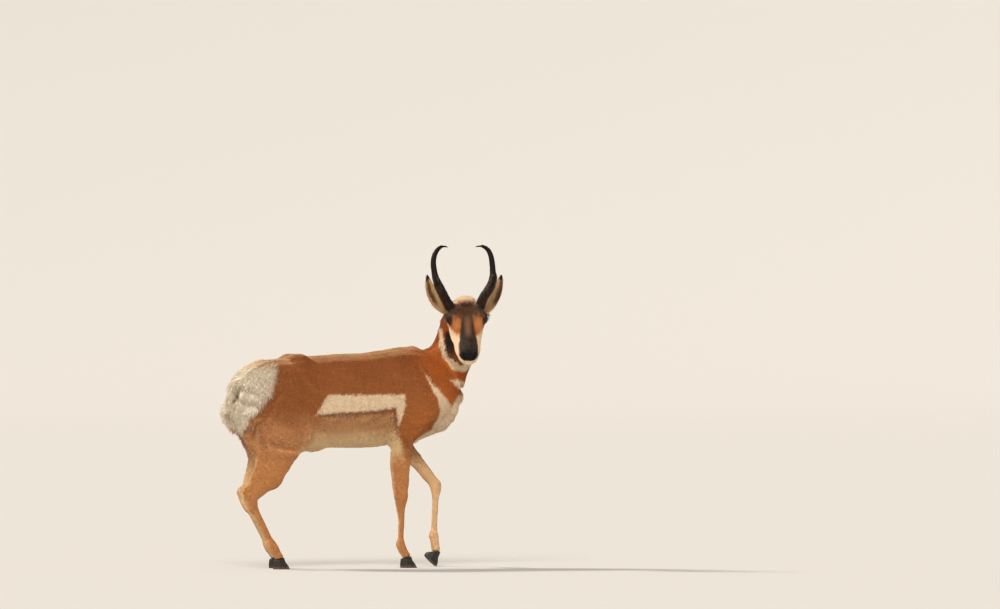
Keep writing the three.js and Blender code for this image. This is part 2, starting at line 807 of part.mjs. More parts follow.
// The tuft between the horns
const crownHair = {
  rows: 2,
  perRow: 3,
  seed: 41,
  length: 34,
  width: 24,
  thick: 5,
  lift: 0.42,
  place: (forward, across) => ({
    from: vec(30 + 40 * forward, 30 * (across - 0.5), -10),
    ray: vec(-0.25 + 0.4 * forward, 1.1 * (across - 0.5), 1),
    flow: vec(1, 0.9 * (across - 0.5), 0),
  }),
};

// A thin cut round the muzzle, as deep as the lips are thick
function mouthLine() {
  const place = (shape) => shape.rotateY(radians(7)).translate(274, 0, MOUTH_HEIGHT + 1);
  const slot = place(new THREE.BoxGeometry(94, 130, 1.8));
  const teeth = place(new THREE.CylinderGeometry(25, 31, 80, 12).rotateZ(-Math.PI / 2).translate(-18, 0, 0));
  return solidOf(slot).subtract(solidOf(teeth));
}

function makeHead() {
  const inFrame = (p) => skin(toWorld(p));
  const skull = castTube({
    line: [vec(36, 0, -22), vec(95, 0, -30), vec(180, 0, -32), vec(264, 0, -36)],
    field: within(inFrame, 8, [headCut, true]),
    rings: 20,
    sides: 24,
    reference: vec(0, 0, 1),
    startCap: 4,
    endCap: 6,
  });
  let head = trimmed(withLocks(skull, { ...crownHair, field: inFrame }), headCut, true);
  head = head.subtract(mouthLine());
  for (const [name, side] of Object.entries(SIDES)) {
    const eye = mirrored(EYE, side);
    const ball = (radius) =>
      solidOf(
        new THREE.SphereGeometry(radius, 12, 8).rotateZ(Math.PI / 2).translate(...eye.toArray()),
      );
    head = head
      .subtract(solidOf(eyeOpening(side)))
      .add(lidRim(side, true))
      .add(lidRim(side, false))
      .subtract(ball(EYE_RADIUS + GAP))
      .subtract(solidOf(nostril(side)))
      .subtract(hornSeat(side))
      .subtract(earSeat(side));
    nodes[`eye_${name}`] = ball(EYE_RADIUS);
  }
  nodes.head = head;
}

// Horns rise over the eyes. Their curve is given by [outward, upward, backward] from the head's crown.
const hornPaths = {
  left: [[44, -26, 4], [55, -2, 2], [70, 40, -2], [97, 80, -6], [110, 115, -6], [110, 150, 0],
    [107, 186, 8], [101, 218, 18], [88, 242, 27], [64, 256, 36], [34, 252, 42]],
  right: [[56, -30, 4], [67, -6, 2], [92, 42, -2], [112, 82, -6], [127, 116, -6], [135, 150, 0],
    [139, 186, 8], [134, 218, 18], [120, 242, 27], [100, 255, 36], [75, 250, 42]],
};
const CROWN = vec(66, 0, 38);
const upward = vec(0, 0, 1).transformDirection(intoHead);
const backward = vec(0.3746, 0.927, 0).transformDirection(intoHead);
const hornPoint = ([out, up, back], side) =>
  CROWN.clone()
    .add(vec(0, out * side, 0))
    .addScaledVector(upward, up)
    .addScaledVector(backward, back);

function hornBlade(side, grow = 0) {
  const path = hornPaths[side > 0 ? "left" : "right"].map((at) => hornPoint(at, side));
  const stations = [
    // along, half across, half deep
    [0, 23, 27], [0.08, 22, 28], [0.2, 19.5, 29], [0.34, 19, 31], [0.42, 17, 24],
    [0.5, 13.5, 16], [0.66, 12, 13], [0.82, 10, 10.5], [0.91, 6.5, 7], [0.97, 3, 3.2], [1, 1.2, 1.2],
  ];
  return loft({
    points: path,
    stations: stations.map(([t, across, deep]) => [t, across + grow, deep + grow]),
    rings: 22,
    sides: 10,
    facing: vec(0, side, 0),
    shape: (t, angle) => 1 + 0.035 * Math.sin(angle * 3 + t * 40) * Math.max(0, 1 - t * 2.2),
  });
}

// The flat prong that points forward from the middle of a horn
function hornProng(side) {
  const out = side > 0 ? 110 : 124;
  const path = [[0, 96, 4], [2, 106, -26], [6, 120, -52], [8, 134, -64]];
  return loft({
    points: path.map(([more, up, back]) => hornPoint([out + more, up, back], side)),
    stations: [[0, 12, 26], [0.4, 11.5, 19], [0.75, 8, 11], [1, 1.4, 1.6]],
    rings: 7,
    sides: 10,
    facing: vec(0, side, 0),
  });
}

const hornPlaneOf = (side) => {
  const [from, to] = hornPaths[side > 0 ? "left" : "right"].slice(1, 3).map((at) => hornPoint(at, side));
  return plane(from, to.sub(from).add(upward.clone().multiplyScalar(20)));
};

function makeHorn(name, side) {
  const horn = hornBlade(side).add(hornProng(side));
  nodes[`horn_${name}`] = trimmed(horn, hornPlaneOf(side), true);
}

// The socket that a horn stands in
function hornSeat(side) {
  const { point, normal } = hornPlaneOf(side);
  const floor = plane(point.clone().addScaledVector(normal, -GAP), normal);
  return trimmed(hornBlade(side, GAP + 0.1), floor, true);
}

// Ears: a curled vane, nearly a tube at its root and an open cup above
const earPaths = {
  left: [[60, -44, 46], [74, -20, 50], [97, 11, 55], [115, 46, 60],
    [130, 81, 62], [142, 115, 58], [147, 136, 54]],
  right: [[60, -44, 46], [80, -20, 50], [115, 11, 55], [137, 46, 60],
    [152, 81, 62], [161, 115, 58], [165, 136, 54]],
};
const earStations = [
  // along, half width, curl in degrees each way from the back, thickness
  [0, 16, 172, 5],
  [0.14, 18, 150, 4.4],
  [0.3, 23, 104, 3.6],
  [0.52, 25.5, 80, 3],
  [0.72, 21.5, 70, 2.6],
  [0.87, 13.5, 64, 2.2],
  [0.96, 6.5, 58, 1.8],
  [1, 2.6, 50, 1.4],
];
const earCurve = (side) =>
  new THREE.CatmullRomCurve3(
    earPaths[side > 0 ? "left" : "right"].map((at) => hornPoint(at, side)),
    false,
    "centripetal",
  );

function earSolid(side) {
  const curve = earCurve(side);
  const rings = 11;
  const across = 7;
  const open = backward.clone().negate().add(vec(0, 0.1 * side, 0)).normalize();
  const rows = Array.from({ length: rings + 1 }, (_, i) => {
    const t = i / rings;
    const [, half, curl, thick] = stationAt(earStations, t);
    const wrap = radians(curl);
    const radius = half / (wrap < Math.PI / 2 ? Math.sin(wrap) : 1);
    const tangent = curve.getTangentAt(t);
    const front = open.clone().addScaledVector(tangent, -open.dot(tangent)).normalize();
    const sideways = tangent.clone().cross(front);
    const spine = curve.getPointAt(t).addScaledVector(front, radius * (1 + Math.cos(wrap)) * 0.5);
    const at = (turn, r) =>
      spine
        .clone()
        .addScaledVector(sideways, Math.sin(turn) * r)
        .addScaledVector(front, -Math.cos(turn) * r);
    const steps = Array.from({ length: across }, (_, k) => -wrap + (2 * wrap * k) / (across - 1));
    const edge = (turn) => 0.5 + 0.5 * (1 - Math.abs(turn / wrap) ** 3);
    const outer = steps.map((turn) => at(turn, radius));
    const inner = steps.map((turn) => at(turn, radius - thick * edge(turn)));
    return [...outer, ...inner.reverse()];
  });
  const middleOf = (row) => row[across >> 1].clone().lerp(row[row.length - 1 - (across >> 1)], 0.5);
  return solidFromRings(rows, middleOf(rows[0]), middleOf(rows[rings]), (k) => k >= across);
}

const EAR_SEAT_AT = 0.13; // of the way along an ear
const earPlaneOf = (side) =>
  plane(earCurve(side).getPointAt(EAR_SEAT_AT), earCurve(side).getTangentAt(EAR_SEAT_AT));

// The hollow in the head that clears an ear's root
function earSeat(side) {
  const { point, normal } = earPlaneOf(side);
  const hollow = loft({
    points: [0, 0.2, 0.4, 0.6].map((t) => earCurve(side).getPointAt(t)),
    stations: [[0, 21, 21], [0.5, 25, 25], [1, 28, 28]],
    rings: 5,
    sides: 14,
    facing: vec(0, side, 0),
  });
  return trimmed(hollow, plane(point.clone().addScaledVector(normal, -GAP), normal), true);
}

function makeEar(name, side) {
  nodes[`ear_${name}`] = trimmed(earSolid(side), earPlaneOf(side), true);
}

makeTrunk();
makeNeck();
makeTail();
for (const leg of Object.keys(legJoints)) {
  makeLeg(leg);
  makeHooves(leg);
}
makeHead();
for (const [name, side] of Object.entries(SIDES)) {
  makeHorn(name, side);
  makeEar(name, side);
}

const HEAD_NODES = ["head", "eye", "horn", "ear"];
const isOfHead = (name) => HEAD_NODES.some((part) => name.startsWith(part));

// The look of each kind of node: the first entry that its name holds
const LOOKS = {
  eye: { color: 0x0d0906, roughness: 0.12 },
  horn: { color: 0x241a15, roughness: 0.62 },
  hoof: { color: 0x1f1b18, roughness: 0.55 },
  ear: { color: 0x8a5a34, roughness: 0.9 },
  belly: { color: 0xc79a6a, roughness: 0.95 },
  tail: { color: 0xd9c4a0, roughness: 0.95 },
  lower: { color: 0xb98552, roughness: 0.95 },
  "": { color: 0x9a5c30, roughness: 0.95 },
};
const lookOf = (name) => LOOKS[Object.keys(LOOKS).find((kind) => name.includes(kind))];

const body = new THREE.Group();
for (const [name, solid] of Object.entries(nodes)) {
  const made = largest(solid);
  const mesh = made.getMesh();
  const geometry = new THREE.BufferGeometry()
    .setAttribute("position", new THREE.BufferAttribute(mesh.vertProperties, 3))
    .setIndex(new THREE.BufferAttribute(mesh.triVerts, 1));
  geometry.computeVertexNormals();
  const material = new THREE.MeshStandardMaterial({ ...lookOf(name), metalness: 0 });
  const object = new THREE.Mesh(geometry, material);
  object.name = name;
  (isOfHead(name) ? headFrame : body).add(object);
}
body.add(headFrame);

// The origin is the middle of the bottom of the whole animal's box
const box = new THREE.Box3().setFromObject(body, true);
const middle = box.getCenter(vec());
body.position.set(-middle.x, -middle.y, -box.min.z);
const group = new THREE.Group();
group.add(body);
export default group;
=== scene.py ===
# %% [markdown]
# # A pronghorn buck
# The real animal is a light, long-legged runner with black pronged horns, a tan coat with white
# patches, and long white hair on its rump. It could be one sculpted mesh, but a coat is thousands of
# tufts over a skin. So the solids that hold its size give one skin, and everything else grows on that:
# folds on the face, markings, tufts, horns, eyes and hooves.

# %% Frame
import json
import math

import bmesh
import bpy
import numpy as np
from mathutils import Matrix, Vector
from mathutils.bvhtree import BVHTree

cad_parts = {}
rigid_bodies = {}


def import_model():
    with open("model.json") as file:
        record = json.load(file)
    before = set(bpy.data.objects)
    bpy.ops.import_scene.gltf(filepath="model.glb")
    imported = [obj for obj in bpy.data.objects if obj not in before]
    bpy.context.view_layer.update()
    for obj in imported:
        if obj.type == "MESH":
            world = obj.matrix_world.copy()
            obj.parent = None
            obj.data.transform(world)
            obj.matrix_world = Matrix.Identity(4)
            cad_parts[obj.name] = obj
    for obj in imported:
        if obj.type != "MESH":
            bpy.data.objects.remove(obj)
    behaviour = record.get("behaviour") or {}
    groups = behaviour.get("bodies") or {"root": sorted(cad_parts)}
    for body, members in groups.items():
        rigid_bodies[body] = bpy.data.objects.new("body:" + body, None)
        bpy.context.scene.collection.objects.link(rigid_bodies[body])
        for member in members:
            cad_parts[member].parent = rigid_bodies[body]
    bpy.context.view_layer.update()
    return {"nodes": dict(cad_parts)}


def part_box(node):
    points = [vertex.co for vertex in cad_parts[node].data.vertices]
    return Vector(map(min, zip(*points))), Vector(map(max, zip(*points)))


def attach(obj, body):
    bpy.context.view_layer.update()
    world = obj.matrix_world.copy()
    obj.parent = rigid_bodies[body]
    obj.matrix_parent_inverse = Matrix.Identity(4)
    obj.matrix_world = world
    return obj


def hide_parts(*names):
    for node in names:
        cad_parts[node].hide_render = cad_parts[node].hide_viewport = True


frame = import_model()
nodes = frame["nodes"]

# %% [markdown]
# Markings and sizes are easiest to say from the trunk's own middle: x runs forward, y to the left, z up,
# in millimetres. The cut between the chest and the belly fixes that place in the frame. The head has
# a frame of its own, with x along the face from the back of the skull to the nose.

# %% Places on the animal
MM = 0.001
CHEST_CUT = 111.85 * MM  # the belly's front end, ahead of the trunk's middle
belly_low, belly_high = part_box("belly")
trunk_middle = Vector((belly_high.x - CHEST_CUT, (belly_low.y + belly_high.y) / 2, 0))
HEAD_AT = Vector((502, -146, 1112)) * MM
HEAD_TURN = math.radians(-106)
HEAD_PITCH = math.radians(50)
head_turned = Matrix.Rotation(HEAD_TURN, 4, "Z") @ Matrix.Rotation(HEAD_PITCH, 4, "Y")
head_place = Matrix.Translation(trunk_middle + HEAD_AT) @ head_turned


def on_trunk(points):
    return (points - np.array(trunk_middle)) / MM


def on_head(points):
    rotation = np.array(head_turned.to_3x3())
    return ((points - np.array(head_place.translation)) @ rotation) / MM


def from_trunk(points):
    return np.array(points, float) * MM + np.array(trunk_middle)


def from_head(points):
    rotation = np.array(head_turned.to_3x3())
    return (np.array(points, float) * MM) @ rotation.T + np.array(head_place.translation)


print("trunk's middle:", tuple(round(v, 4) for v in trunk_middle))

# %% [markdown]
# The photograph looks at the right side, a little from behind, from far away. A long lens at 40 m keeps
# its flat perspective, and the lens stands a little above the animal's back.

# %% Camera
VIEW_TURN = math.radians(22)
VIEW_DISTANCE = 40.0
VIEW_HEIGHT = 1.067
PIXELS_PER_METRE = 240.0
FRAME_WIDTH = 1000
AIM_RIGHT = 0.667
AIM_UP = 1.098
view_right = Vector((math.cos(VIEW_TURN), -math.sin(VIEW_TURN), 0))
view_ahead = Vector((math.sin(VIEW_TURN), math.cos(VIEW_TURN), 0))
aim = trunk_middle + view_right * AIM_RIGHT + Vector((0, 0, AIM_UP))
lens = bpy.data.cameras.new("long_lens")
lens.sensor_width = 36
lens.lens = lens.sensor_width * VIEW_DISTANCE * PIXELS_PER_METRE / FRAME_WIDTH
lens.clip_end = 500
camera = bpy.data.objects.new("camera", lens)
camera.location = aim - view_ahead * VIEW_DISTANCE
camera.location.z = VIEW_HEIGHT
camera.rotation_euler = (aim - camera.location).to_track_quat("-Z", "Y").to_euler()
bpy.context.scene.collection.objects.link(camera)
bpy.context.scene.camera = camera
print("lens:", round(lens.lens, 1), "mm")

# %% [markdown]
# A few helpers pass a mesh's points to and from arrays, blend values softly and finish modifiers, so
# that the cells below can say only what they shape.

# %% Helpers


def rise(value, low, high):
    """0 below low, 1 above high, and a soft curve between them."""
    t = np.clip((value - low) / (high - low), 0, 1)
    return t * t * (3 - 2 * t)


def fall(value, low, high):
    return 1 - rise(value, low, high)


def bump_at(value, middle, reach):
    return np.exp(-(((value - middle) / reach) ** 2))


def wobble(p, size, amount):
    """Smooth, repeatable unevenness: a few crossed waves."""
    a, b, c = (p / size).T
    first = np.sin(a * 2.1 + 1.7 * np.sin(b * 1.3))
    second = np.sin(b * 2.7 + 1.1 * np.sin(c * 1.9))
    third = np.sin(c * 2.3 + 1.4 * a)
    return (first + second + third) * amount / 3


def read(rows, name, wide=3, kind=np.float32):
    """One property of all a mesh's points, corners or faces, as an array."""
    flat = np.empty(len(rows) * wide, kind)
    rows.foreach_get(name, flat)
    return flat.reshape(-1, wide)


def write(rows, name, values, kind=np.float32):
    rows.foreach_set(name, np.ascontiguousarray(values, kind).ravel())


def points_of(mesh):
    return read(mesh.vertices, "co").astype(float)


def normals_of(mesh):
    return read(mesh.vertex_normals, "vector").astype(float)


def set_points(mesh, points):
    write(mesh.vertices, "co", points)
    mesh.update()


def unit(vectors):
    return vectors / np.maximum(np.linalg.norm(vectors, axis=1, keepdims=True), 1e-9)


def piece_from(shape, name):
    mesh = bpy.data.meshes.new(name)
    shape.to_mesh(mesh)
    shape.free()
    piece = bpy.data.objects.new(name, mesh)
    bpy.context.scene.collection.objects.link(piece)
    return piece


def finish_modifiers(piece):
    """The piece's mesh becomes what its modifiers show."""
    graph = bpy.context.evaluated_depsgraph_get()
    old = piece.data
    piece.data = bpy.data.meshes.new_from_object(piece.evaluated_get(graph))
    piece.modifiers.clear()
    bpy.data.meshes.remove(old)


def remeshed(piece, size):
    remesh = piece.modifiers.new("remesh", "REMESH")
    remesh.mode = "VOXEL"
    remesh.voxel_size = size
    finish_modifiers(piece)


WEIGHT_GRADES = 10


def relaxed(piece, weights, rounds):
    """Smooths the points of a piece by a weight for each one."""
    group = piece.vertex_groups.new(name="relax")
    grades = np.round(np.clip(weights, 0, 1) * WEIGHT_GRADES).astype(int)
    for grade in range(1, WEIGHT_GRADES + 1):
        chosen = [int(i) for i in np.flatnonzero(grades == grade)]
        group.add(chosen, grade / WEIGHT_GRADES, "REPLACE")
    smooth = piece.modifiers.new("smooth", "SMOOTH")
    smooth.factor = 0.5
    smooth.iterations = rounds
    smooth.vertex_group = "relax"
    finish_modifiers(piece)
    piece.vertex_groups.clear()


def shade_smooth(mesh):
    mesh.polygons.foreach_set("use_smooth", [True] * len(mesh.polygons))


def triangles_in(piece):
    piece.data.calc_loop_triangles()
    return len(piece.data.loop_triangles)


print("soft step, a quarter of the way up:", rise(0.25, 0, 1))

# %% [markdown]
# The skin is one sheet from nose to hoof. The solids of the flesh are joined, with the stumps of the horns
# and ears filling their sockets, and a voxel remesh makes one closed surface of them. The solids carry
# only broad muscles, so rows of flattened balls add those that show in the legs, rump and throat.

# %% Joined flesh
JOINED_VOXEL = 4 * MM
HORN_STUMP = 16 * MM
EAR_STUMP = 14 * MM
FLESH = ("chest", "belly", "haunches", "neck", "tail", "head")
SIDES = {"left": 1, "right": -1}
LEGS = ("fore_right", "fore_left", "hind_right", "hind_left")
CROWN = (66, 0, 38)
HORN_ROOTS = {"left": ((55, -2, 2), (70, 40, -2)), "right": ((67, -6, 2), (92, 42, -2))}
EAR_ROOTS = {"left": ((73, -22, 50), (97, 11, 55)), "right": ((78, -22, 50), (115, 11, 55))}


def by_crown(out_up_back, side):
    """A point from the crown: outwards in the head's frame, up, and away from the camera."""
    out, up, back = out_up_back
    sideways = head_turned.to_3x3() @ Vector((0, 1, 0))
    crown = Vector(from_head([CROWN])[0])
    return crown + (sideways * out * side + Vector((0, 0, up)) + view_ahead * back) * MM


def add_stump(shape, node, roots, side, length):
    """Joins the lowest part of a horn or ear, cut across and closed."""
    stump = bmesh.new()
    stump.from_mesh(nodes[node].data)
    bmesh.ops.remove_doubles(stump, verts=stump.verts, dist=1e-5)
    root, ahead = (by_crown(place, side) for place in roots)
    direction = (ahead - root).normalized()
    everything = stump.verts[:] + stump.edges[:] + stump.faces[:]
    end = root + direction * length
    cut = bmesh.ops.bisect_plane(stump, geom=everything, plane_co=end, plane_no=direction, clear_outer=True)
    edges = [part for part in cut["geom_cut"] if isinstance(part, bmesh.types.BMEdge)]
    bmesh.ops.edgenet_fill(stump, edges=edges)
    bmesh.ops.triangulate(stump, faces=stump.faces)
    spare = bpy.data.meshes.new("spare")
    stump.to_mesh(spare)
    stump.free()
    shape.from_mesh(spare)
    bpy.data.meshes.remove(spare)


# Each line of balls: x, y, z and radius, in millimetres, for the forelegs, the breast, the throat, the
# hind shanks, the back of the thighs and the stifles.
BALLS_PER_PLACE = 6
BALL_ACROSS = 0.62
MUSCLES = (
    ((215, -82, 565, 58), (236, -85, 516, 46), (228, -83, 427, 42), (229, -82, 367, 33), (232, -81, 300, 25),
        (236, -80, 255, 20), (240, -80, 215, 16)),
    ((262, 74, 610, 58), (292, 82, 548, 50), (330, 85, 496, 40), (366, 85, 452, 34)),
    ((300, -44, 556, 38), (330, 0, 558, 40), (300, 44, 556, 38)),
    ((400, 0, 862, 46), (440, 0, 875, 47), (462, 0, 900, 47), (470, -2, 940, 44)),
    ((470, -14, 830, 56), (478, -18, 778, 58), (470, -6, 730, 54)),
    ((-345, -94, 378, 38), (-382, -94, 336, 30), (-418, -94, 297, 19)),
    ((-300, 94, 376, 38), (-335, 94, 334, 30), (-368, 94, 295, 19)),
    ((-440, -46, 655, 60), (-432, -52, 610, 54), (-424, -56, 570, 42), (-396, -72, 505, 34),
        (-380, -85, 445, 28)),
    ((-440, 46, 655, 60), (-424, 52, 610, 48), (-400, 56, 560, 34), (-366, 72, 505, 32), (-350, 85, 445, 26)),
    ((-224, -86, 530, 44), (-246, -92, 480, 44), (-280, -95, 438, 46)),
    ((-194, 86, 530, 44), (-216, 92, 480, 44), (-250, 95, 438, 46)),
)


def muscle_mesh():
    """Balls along each line of places, each with its radius fore and aft. They are flatter across."""
    shape = bmesh.new()
    bmesh.ops.create_uvsphere(shape, u_segments=24, v_segments=16, radius=1.0)
    ball = np.array([tuple(vert.co) for vert in shape.verts])
    ball_faces = [[vert.index for vert in face.verts] for face in shape.faces]
    shape.free()
    points, faces = [], []
    for line in MUSCLES:
        line = np.array(line, float)
        steps = np.linspace(0, len(line) - 1, BALLS_PER_PLACE * len(line))
        columns = [np.interp(steps, range(len(line)), column) for column in line.T]
        for x, y, z, radius in np.stack(columns, 1):
            start = len(points) * len(ball)
            points.append(from_trunk(np.array([x, y, z]) + ball * radius * [1, BALL_ACROSS, 1]))
            faces += [[start + corner for corner in face] for face in ball_faces]
    mesh = bpy.data.meshes.new("muscles")
    mesh.from_pydata(np.concatenate(points).tolist(), [], faces)
    return mesh


flesh = bmesh.new()
LEG_NODES = tuple(f"{leg}_{half}" for leg in LEGS for half in ("upper", "lower"))
for name in FLESH + LEG_NODES + ("eye_left", "eye_right"):
    flesh.from_mesh(nodes[name].data)
bmesh.ops.remove_doubles(flesh, verts=flesh.verts, dist=1e-5)
for side_name, side in SIDES.items():
    add_stump(flesh, f"horn_{side_name}", HORN_ROOTS[side_name], side, HORN_STUMP)
    add_stump(flesh, f"ear_{side_name}", EAR_ROOTS[side_name], side, EAR_STUMP)
flesh.from_mesh(muscle_mesh())
skin = piece_from(flesh, "skin")
remeshed(skin, JOINED_VOXEL)
print("joined flesh:", triangles_in(skin), "triangles")

# %% [markdown]
# Four places have long hair: the rump, the breast, the nape and the crown. Each is a function that says
# how far a point belongs to it, and so does one for the head. Shapes, tufts and colours all ask them.

# %% Long-haired places


def rump_hair(points):
    """How far a point is in the long white hair of the rump, from 0 to 1."""
    p = on_trunk(points)
    edge = np.interp(p[:, 2], [560, 600, 690, 752, 814, 851, 900], [-462, -448, -392, -345, -327, -308, -292])
    return rise(edge - p[:, 0], -6, 26) * rise(p[:, 2], 470, 520)


def breast_hair(points):
    p = on_trunk(points)
    low = rise(p[:, 0], 372, 425) * rise(p[:, 2], 560, 610) * fall(p[:, 2], 700, 752)
    return low * fall(np.abs(p[:, 1]), 84, 112)


def nape_away(p):
    """How far each place is from the back of the neck, level with it."""
    heights = [880, 930, 990, 1060, 1120]
    line_x = np.interp(p[:, 2], heights, [400, 425, 445, 462, 470])
    line_y = np.interp(p[:, 2], heights, [0, 15, 0, -35, -75])
    return np.hypot(p[:, 0] - line_x, p[:, 1] - line_y)


def nape_hair(points):
    """Along the back of the neck, from the poll to the withers."""
    p = on_trunk(points)
    return fall(nape_away(p), 34, 62) * rise(p[:, 2], 893, 915)


def nape_reach(p):
    """Wider than the nape's hair, so that it takes in the tips of the locks of the solid."""
    return fall(nape_away(p), 56, 90) * rise(p[:, 2], 898, 945)


def crown_hair(points):
    h = on_head(points)
    place = bump_at(h[:, 0], 40, 26) * bump_at(h[:, 1], 0, 34)
    return rise(place, 0.25, 0.7) * rise(h[:, 2], 0, 20)


def of_head(points):
    h = on_head(points)
    low = np.interp(h[:, 0], [0, 150, 220, 300], [-128, -118, -104, -92])
    ahead = rise(h[:, 0] * 0.81 + h[:, 2] * 0.59, 0, 30) * rise(h[:, 2], low, low + 14)
    wide = np.interp(h[:, 0], [100, 212, 250, 300], [120, 98, 84, 66])
    return ahead * fall(np.abs(h[:, 1]), wide, wide + 10)


def long_hair(points):
    return np.clip(rump_hair(points) + breast_hair(points) + nape_hair(points) + crown_hair(points), 0, 1)


print("points with long hair:", int(np.sum(long_hair(points_of(skin.data)) > 0.5)))

# %% [markdown]
# The broad locks overhang the body, so smoothing alone would leave lumps. A line inside each haired
# place looks outwards instead: every point of the place moves to where that look first leaves the flesh,
# which is the body under the hair. The neck is then drawn in to its real radius, the stifles go back a
# little, and the places that were moved are relaxed hard, with the joints of the legs and the throat. The
# rest is relaxed only to lose its facets.

# %% Body under the long hair
NECK_LINE = ((325, 0, 790), (440, 0, 802), (496, -8, 880), (507, -36, 958), (503, -78, 1030),
    (500, -122, 1068))
NAPE_HEIGHTS = (880, 930, 990, 1060)
NAPE_RADII = (104, 88, 78, 84)
STIFLE_BACK = 18
LOCK_ROUNDS = 80
WHOLE_ROUNDS = 16
JOINT_ROUNDS = 110
THROAT_ROUNDS = 90
SKIN_VOXEL = 6.4 * MM


def nearest_on_line(places, line):
    """For each place, the nearest point of a line of points, and the line's direction there."""
    best = np.full(len(places), np.inf)
    nearest = np.zeros_like(places)
    along = np.zeros_like(places)
    for start, end in zip(line, line[1:]):
        start = np.array(start, float)
        step = np.array(end, float) - start
        t = np.clip(((places - start) @ step) / (step @ step), 0, 1)
        there = start + t[:, None] * step
        away = np.linalg.norm(places - there, axis=1)
        closer = away < best
        best[closer] = away[closer]
        nearest[closer] = there[closer]
        along[closer] = step / np.linalg.norm(step)
    return nearest, along, best


def inner_places(points):
    """A place well inside the body behind each point, in the trunk's frame."""
    p = on_trunk(points)
    inner = np.full_like(p, (-330, 0, 0))
    inner[:, 2] = np.clip(p[:, 2], 560, 790)
    front = p[:, 0] > 0
    inner[front, 0] = 400
    inner[front, 2] = np.clip(p[front, 2], 640, 740)
    high = front & (p[:, 2] > 870)
    inner[high] = nearest_on_line(p[high], NECK_LINE)[0]
    crown = high & (on_head(points)[:, 2] > 0)
    inner[crown] = on_trunk(from_head([[45, 0, -12]]))
    return from_trunk(inner)


def under_locks(points):
    """Each point of a lock, moved in to the flesh below it."""
    p = on_trunk(points)
    behind_tail = rise(-p[:, 0], 448, 456) * fall(np.abs(p[:, 1]), 24, 32) * rise(p[:, 2], 612, 636)
    locks = long_hair(points) - rump_hair(points) * behind_tail
    body_faces = [tuple(face.vertices) for face in skin.data.polygons]
    tree = BVHTree.FromPolygons([tuple(place) for place in points], body_faces)
    inner = inner_places(points)
    for i in np.flatnonzero(locks > 0.02):
        look = Vector(points[i] - inner[i])
        there = tree.ray_cast(Vector(inner[i]), look.normalized(), look.length)[0]
        if there:
            points[i] += (np.array(there) - points[i]) * locks[i]
    return points


def slim_neck(p):
    nearest, _, away = nearest_on_line(p, NECK_LINE)
    wanted = np.interp(p[:, 2], NAPE_HEIGHTS, NAPE_RADII)
    slimmed = nearest + (p - nearest) * np.minimum(1, wanted / np.maximum(away, 1))[:, None]
    return p + (slimmed - p) * nape_reach(p)[:, None]


def set_back_stifles(p):
    stifle = bump_at(p[:, 2], 440, 46) * (np.abs(p[:, 1]) > 30) * (p[:, 0] < 0)
    front = np.where(p[:, 1] < 0, rise(p[:, 0], -330, -250), rise(p[:, 0], -300, -215))
    p[:, 0] -= STIFLE_BACK * stifle * front
    return p


bare = under_locks(points_of(skin.data))
set_points(skin.data, from_trunk(set_back_stifles(slim_neck(on_trunk(bare)))))
remeshed(skin, JOINED_VOXEL)
relaxed(skin, long_hair(points_of(skin.data)), LOCK_ROUNDS)
relaxed(skin, 1 - 0.5 * of_head(points_of(skin.data)), WHOLE_ROUNDS)
p = on_trunk(points_of(skin.data))
joints = rise(p[:, 2], 330, 400) * fall(p[:, 2], 540, 610) * (np.abs(p[:, 1]) > 20)
relaxed(skin, joints, JOINT_ROUNDS)
throat = rise(p[:, 0], 350, 410) * bump_at(p[:, 2], 790, 110)
relaxed(skin, throat, THROAT_ROUNDS)
remeshed(skin, SKIN_VOXEL)
print("even skin:", triangles_in(skin), "triangles")

# %% [markdown]
# Lids, lips and nostrils are a few millimetres wide, so the faces there are cut finer: once over the
# whole head and once more round the eyes and the muzzle.

# %% Finer faces on the head
EYE = (108, 67, 18)
EYE_RADIUS = 21.5
EYE_TILT = math.radians(18)
EYE_HALF_LENGTH = 18.5
UPPER_LID = 12.0
LOWER_LID = 10.0


def eye_distance(points):
    h = on_head(points)
    return np.linalg.norm(np.stack([h[:, 0], np.abs(h[:, 1]), h[:, 2]], 1) - np.array(EYE), axis=1)


def refine(piece, wanted):
    """Splits every edge of the faces whose middle is wanted."""
    shape = bmesh.new()
    shape.from_mesh(piece.data)
    middles = np.array([face.calc_center_median() for face in shape.faces])
    shape.faces.ensure_lookup_table()
    chosen = np.flatnonzero(wanted(middles))
    edges = {edge for i in chosen for edge in shape.faces[i].edges}
    bmesh.ops.subdivide_edges(shape, edges=list(edges), cuts=1, use_grid_fill=True)
    shape.to_mesh(piece.data)
    shape.free()


def at_head(middles):
    return of_head(middles) > 0.5


def at_eye_or_muzzle(middles):
    return (eye_distance(middles) < 36) | (on_head(middles)[:, 0] > 248) & at_head(middles)


refine(skin, at_head)
refine(skin, at_eye_or_muzzle)
relaxed(skin, of_head(points_of(skin.data)), 8)
print("finer head:", triangles_in(skin), "triangles")

# %% [markdown]
# The coat lies over the skin, so the skin goes in by its depth: least on the face and legs. Then the
# face is sculpted by functions of its own frame, as a modeller's strokes would do it: a groove or a
# ridge is a soft bump across a line. The lids are drawn onto a ball of the eye's size.

# %% Coat depth and face


def leg_part(points):
    """0 on the trunk, 1 from the elbow or stifle down."""
    return fall(on_trunk(points)[:, 2], 420, 540)


def coat_depth(points):
    depth = 4.0 - 2.2 * leg_part(points) - 2.6 * of_head(points)
    return np.clip(depth, 1.2, 4.0) * MM


def segment_distance(h, start, end):
    return nearest_on_line(h, (start, end))[2]


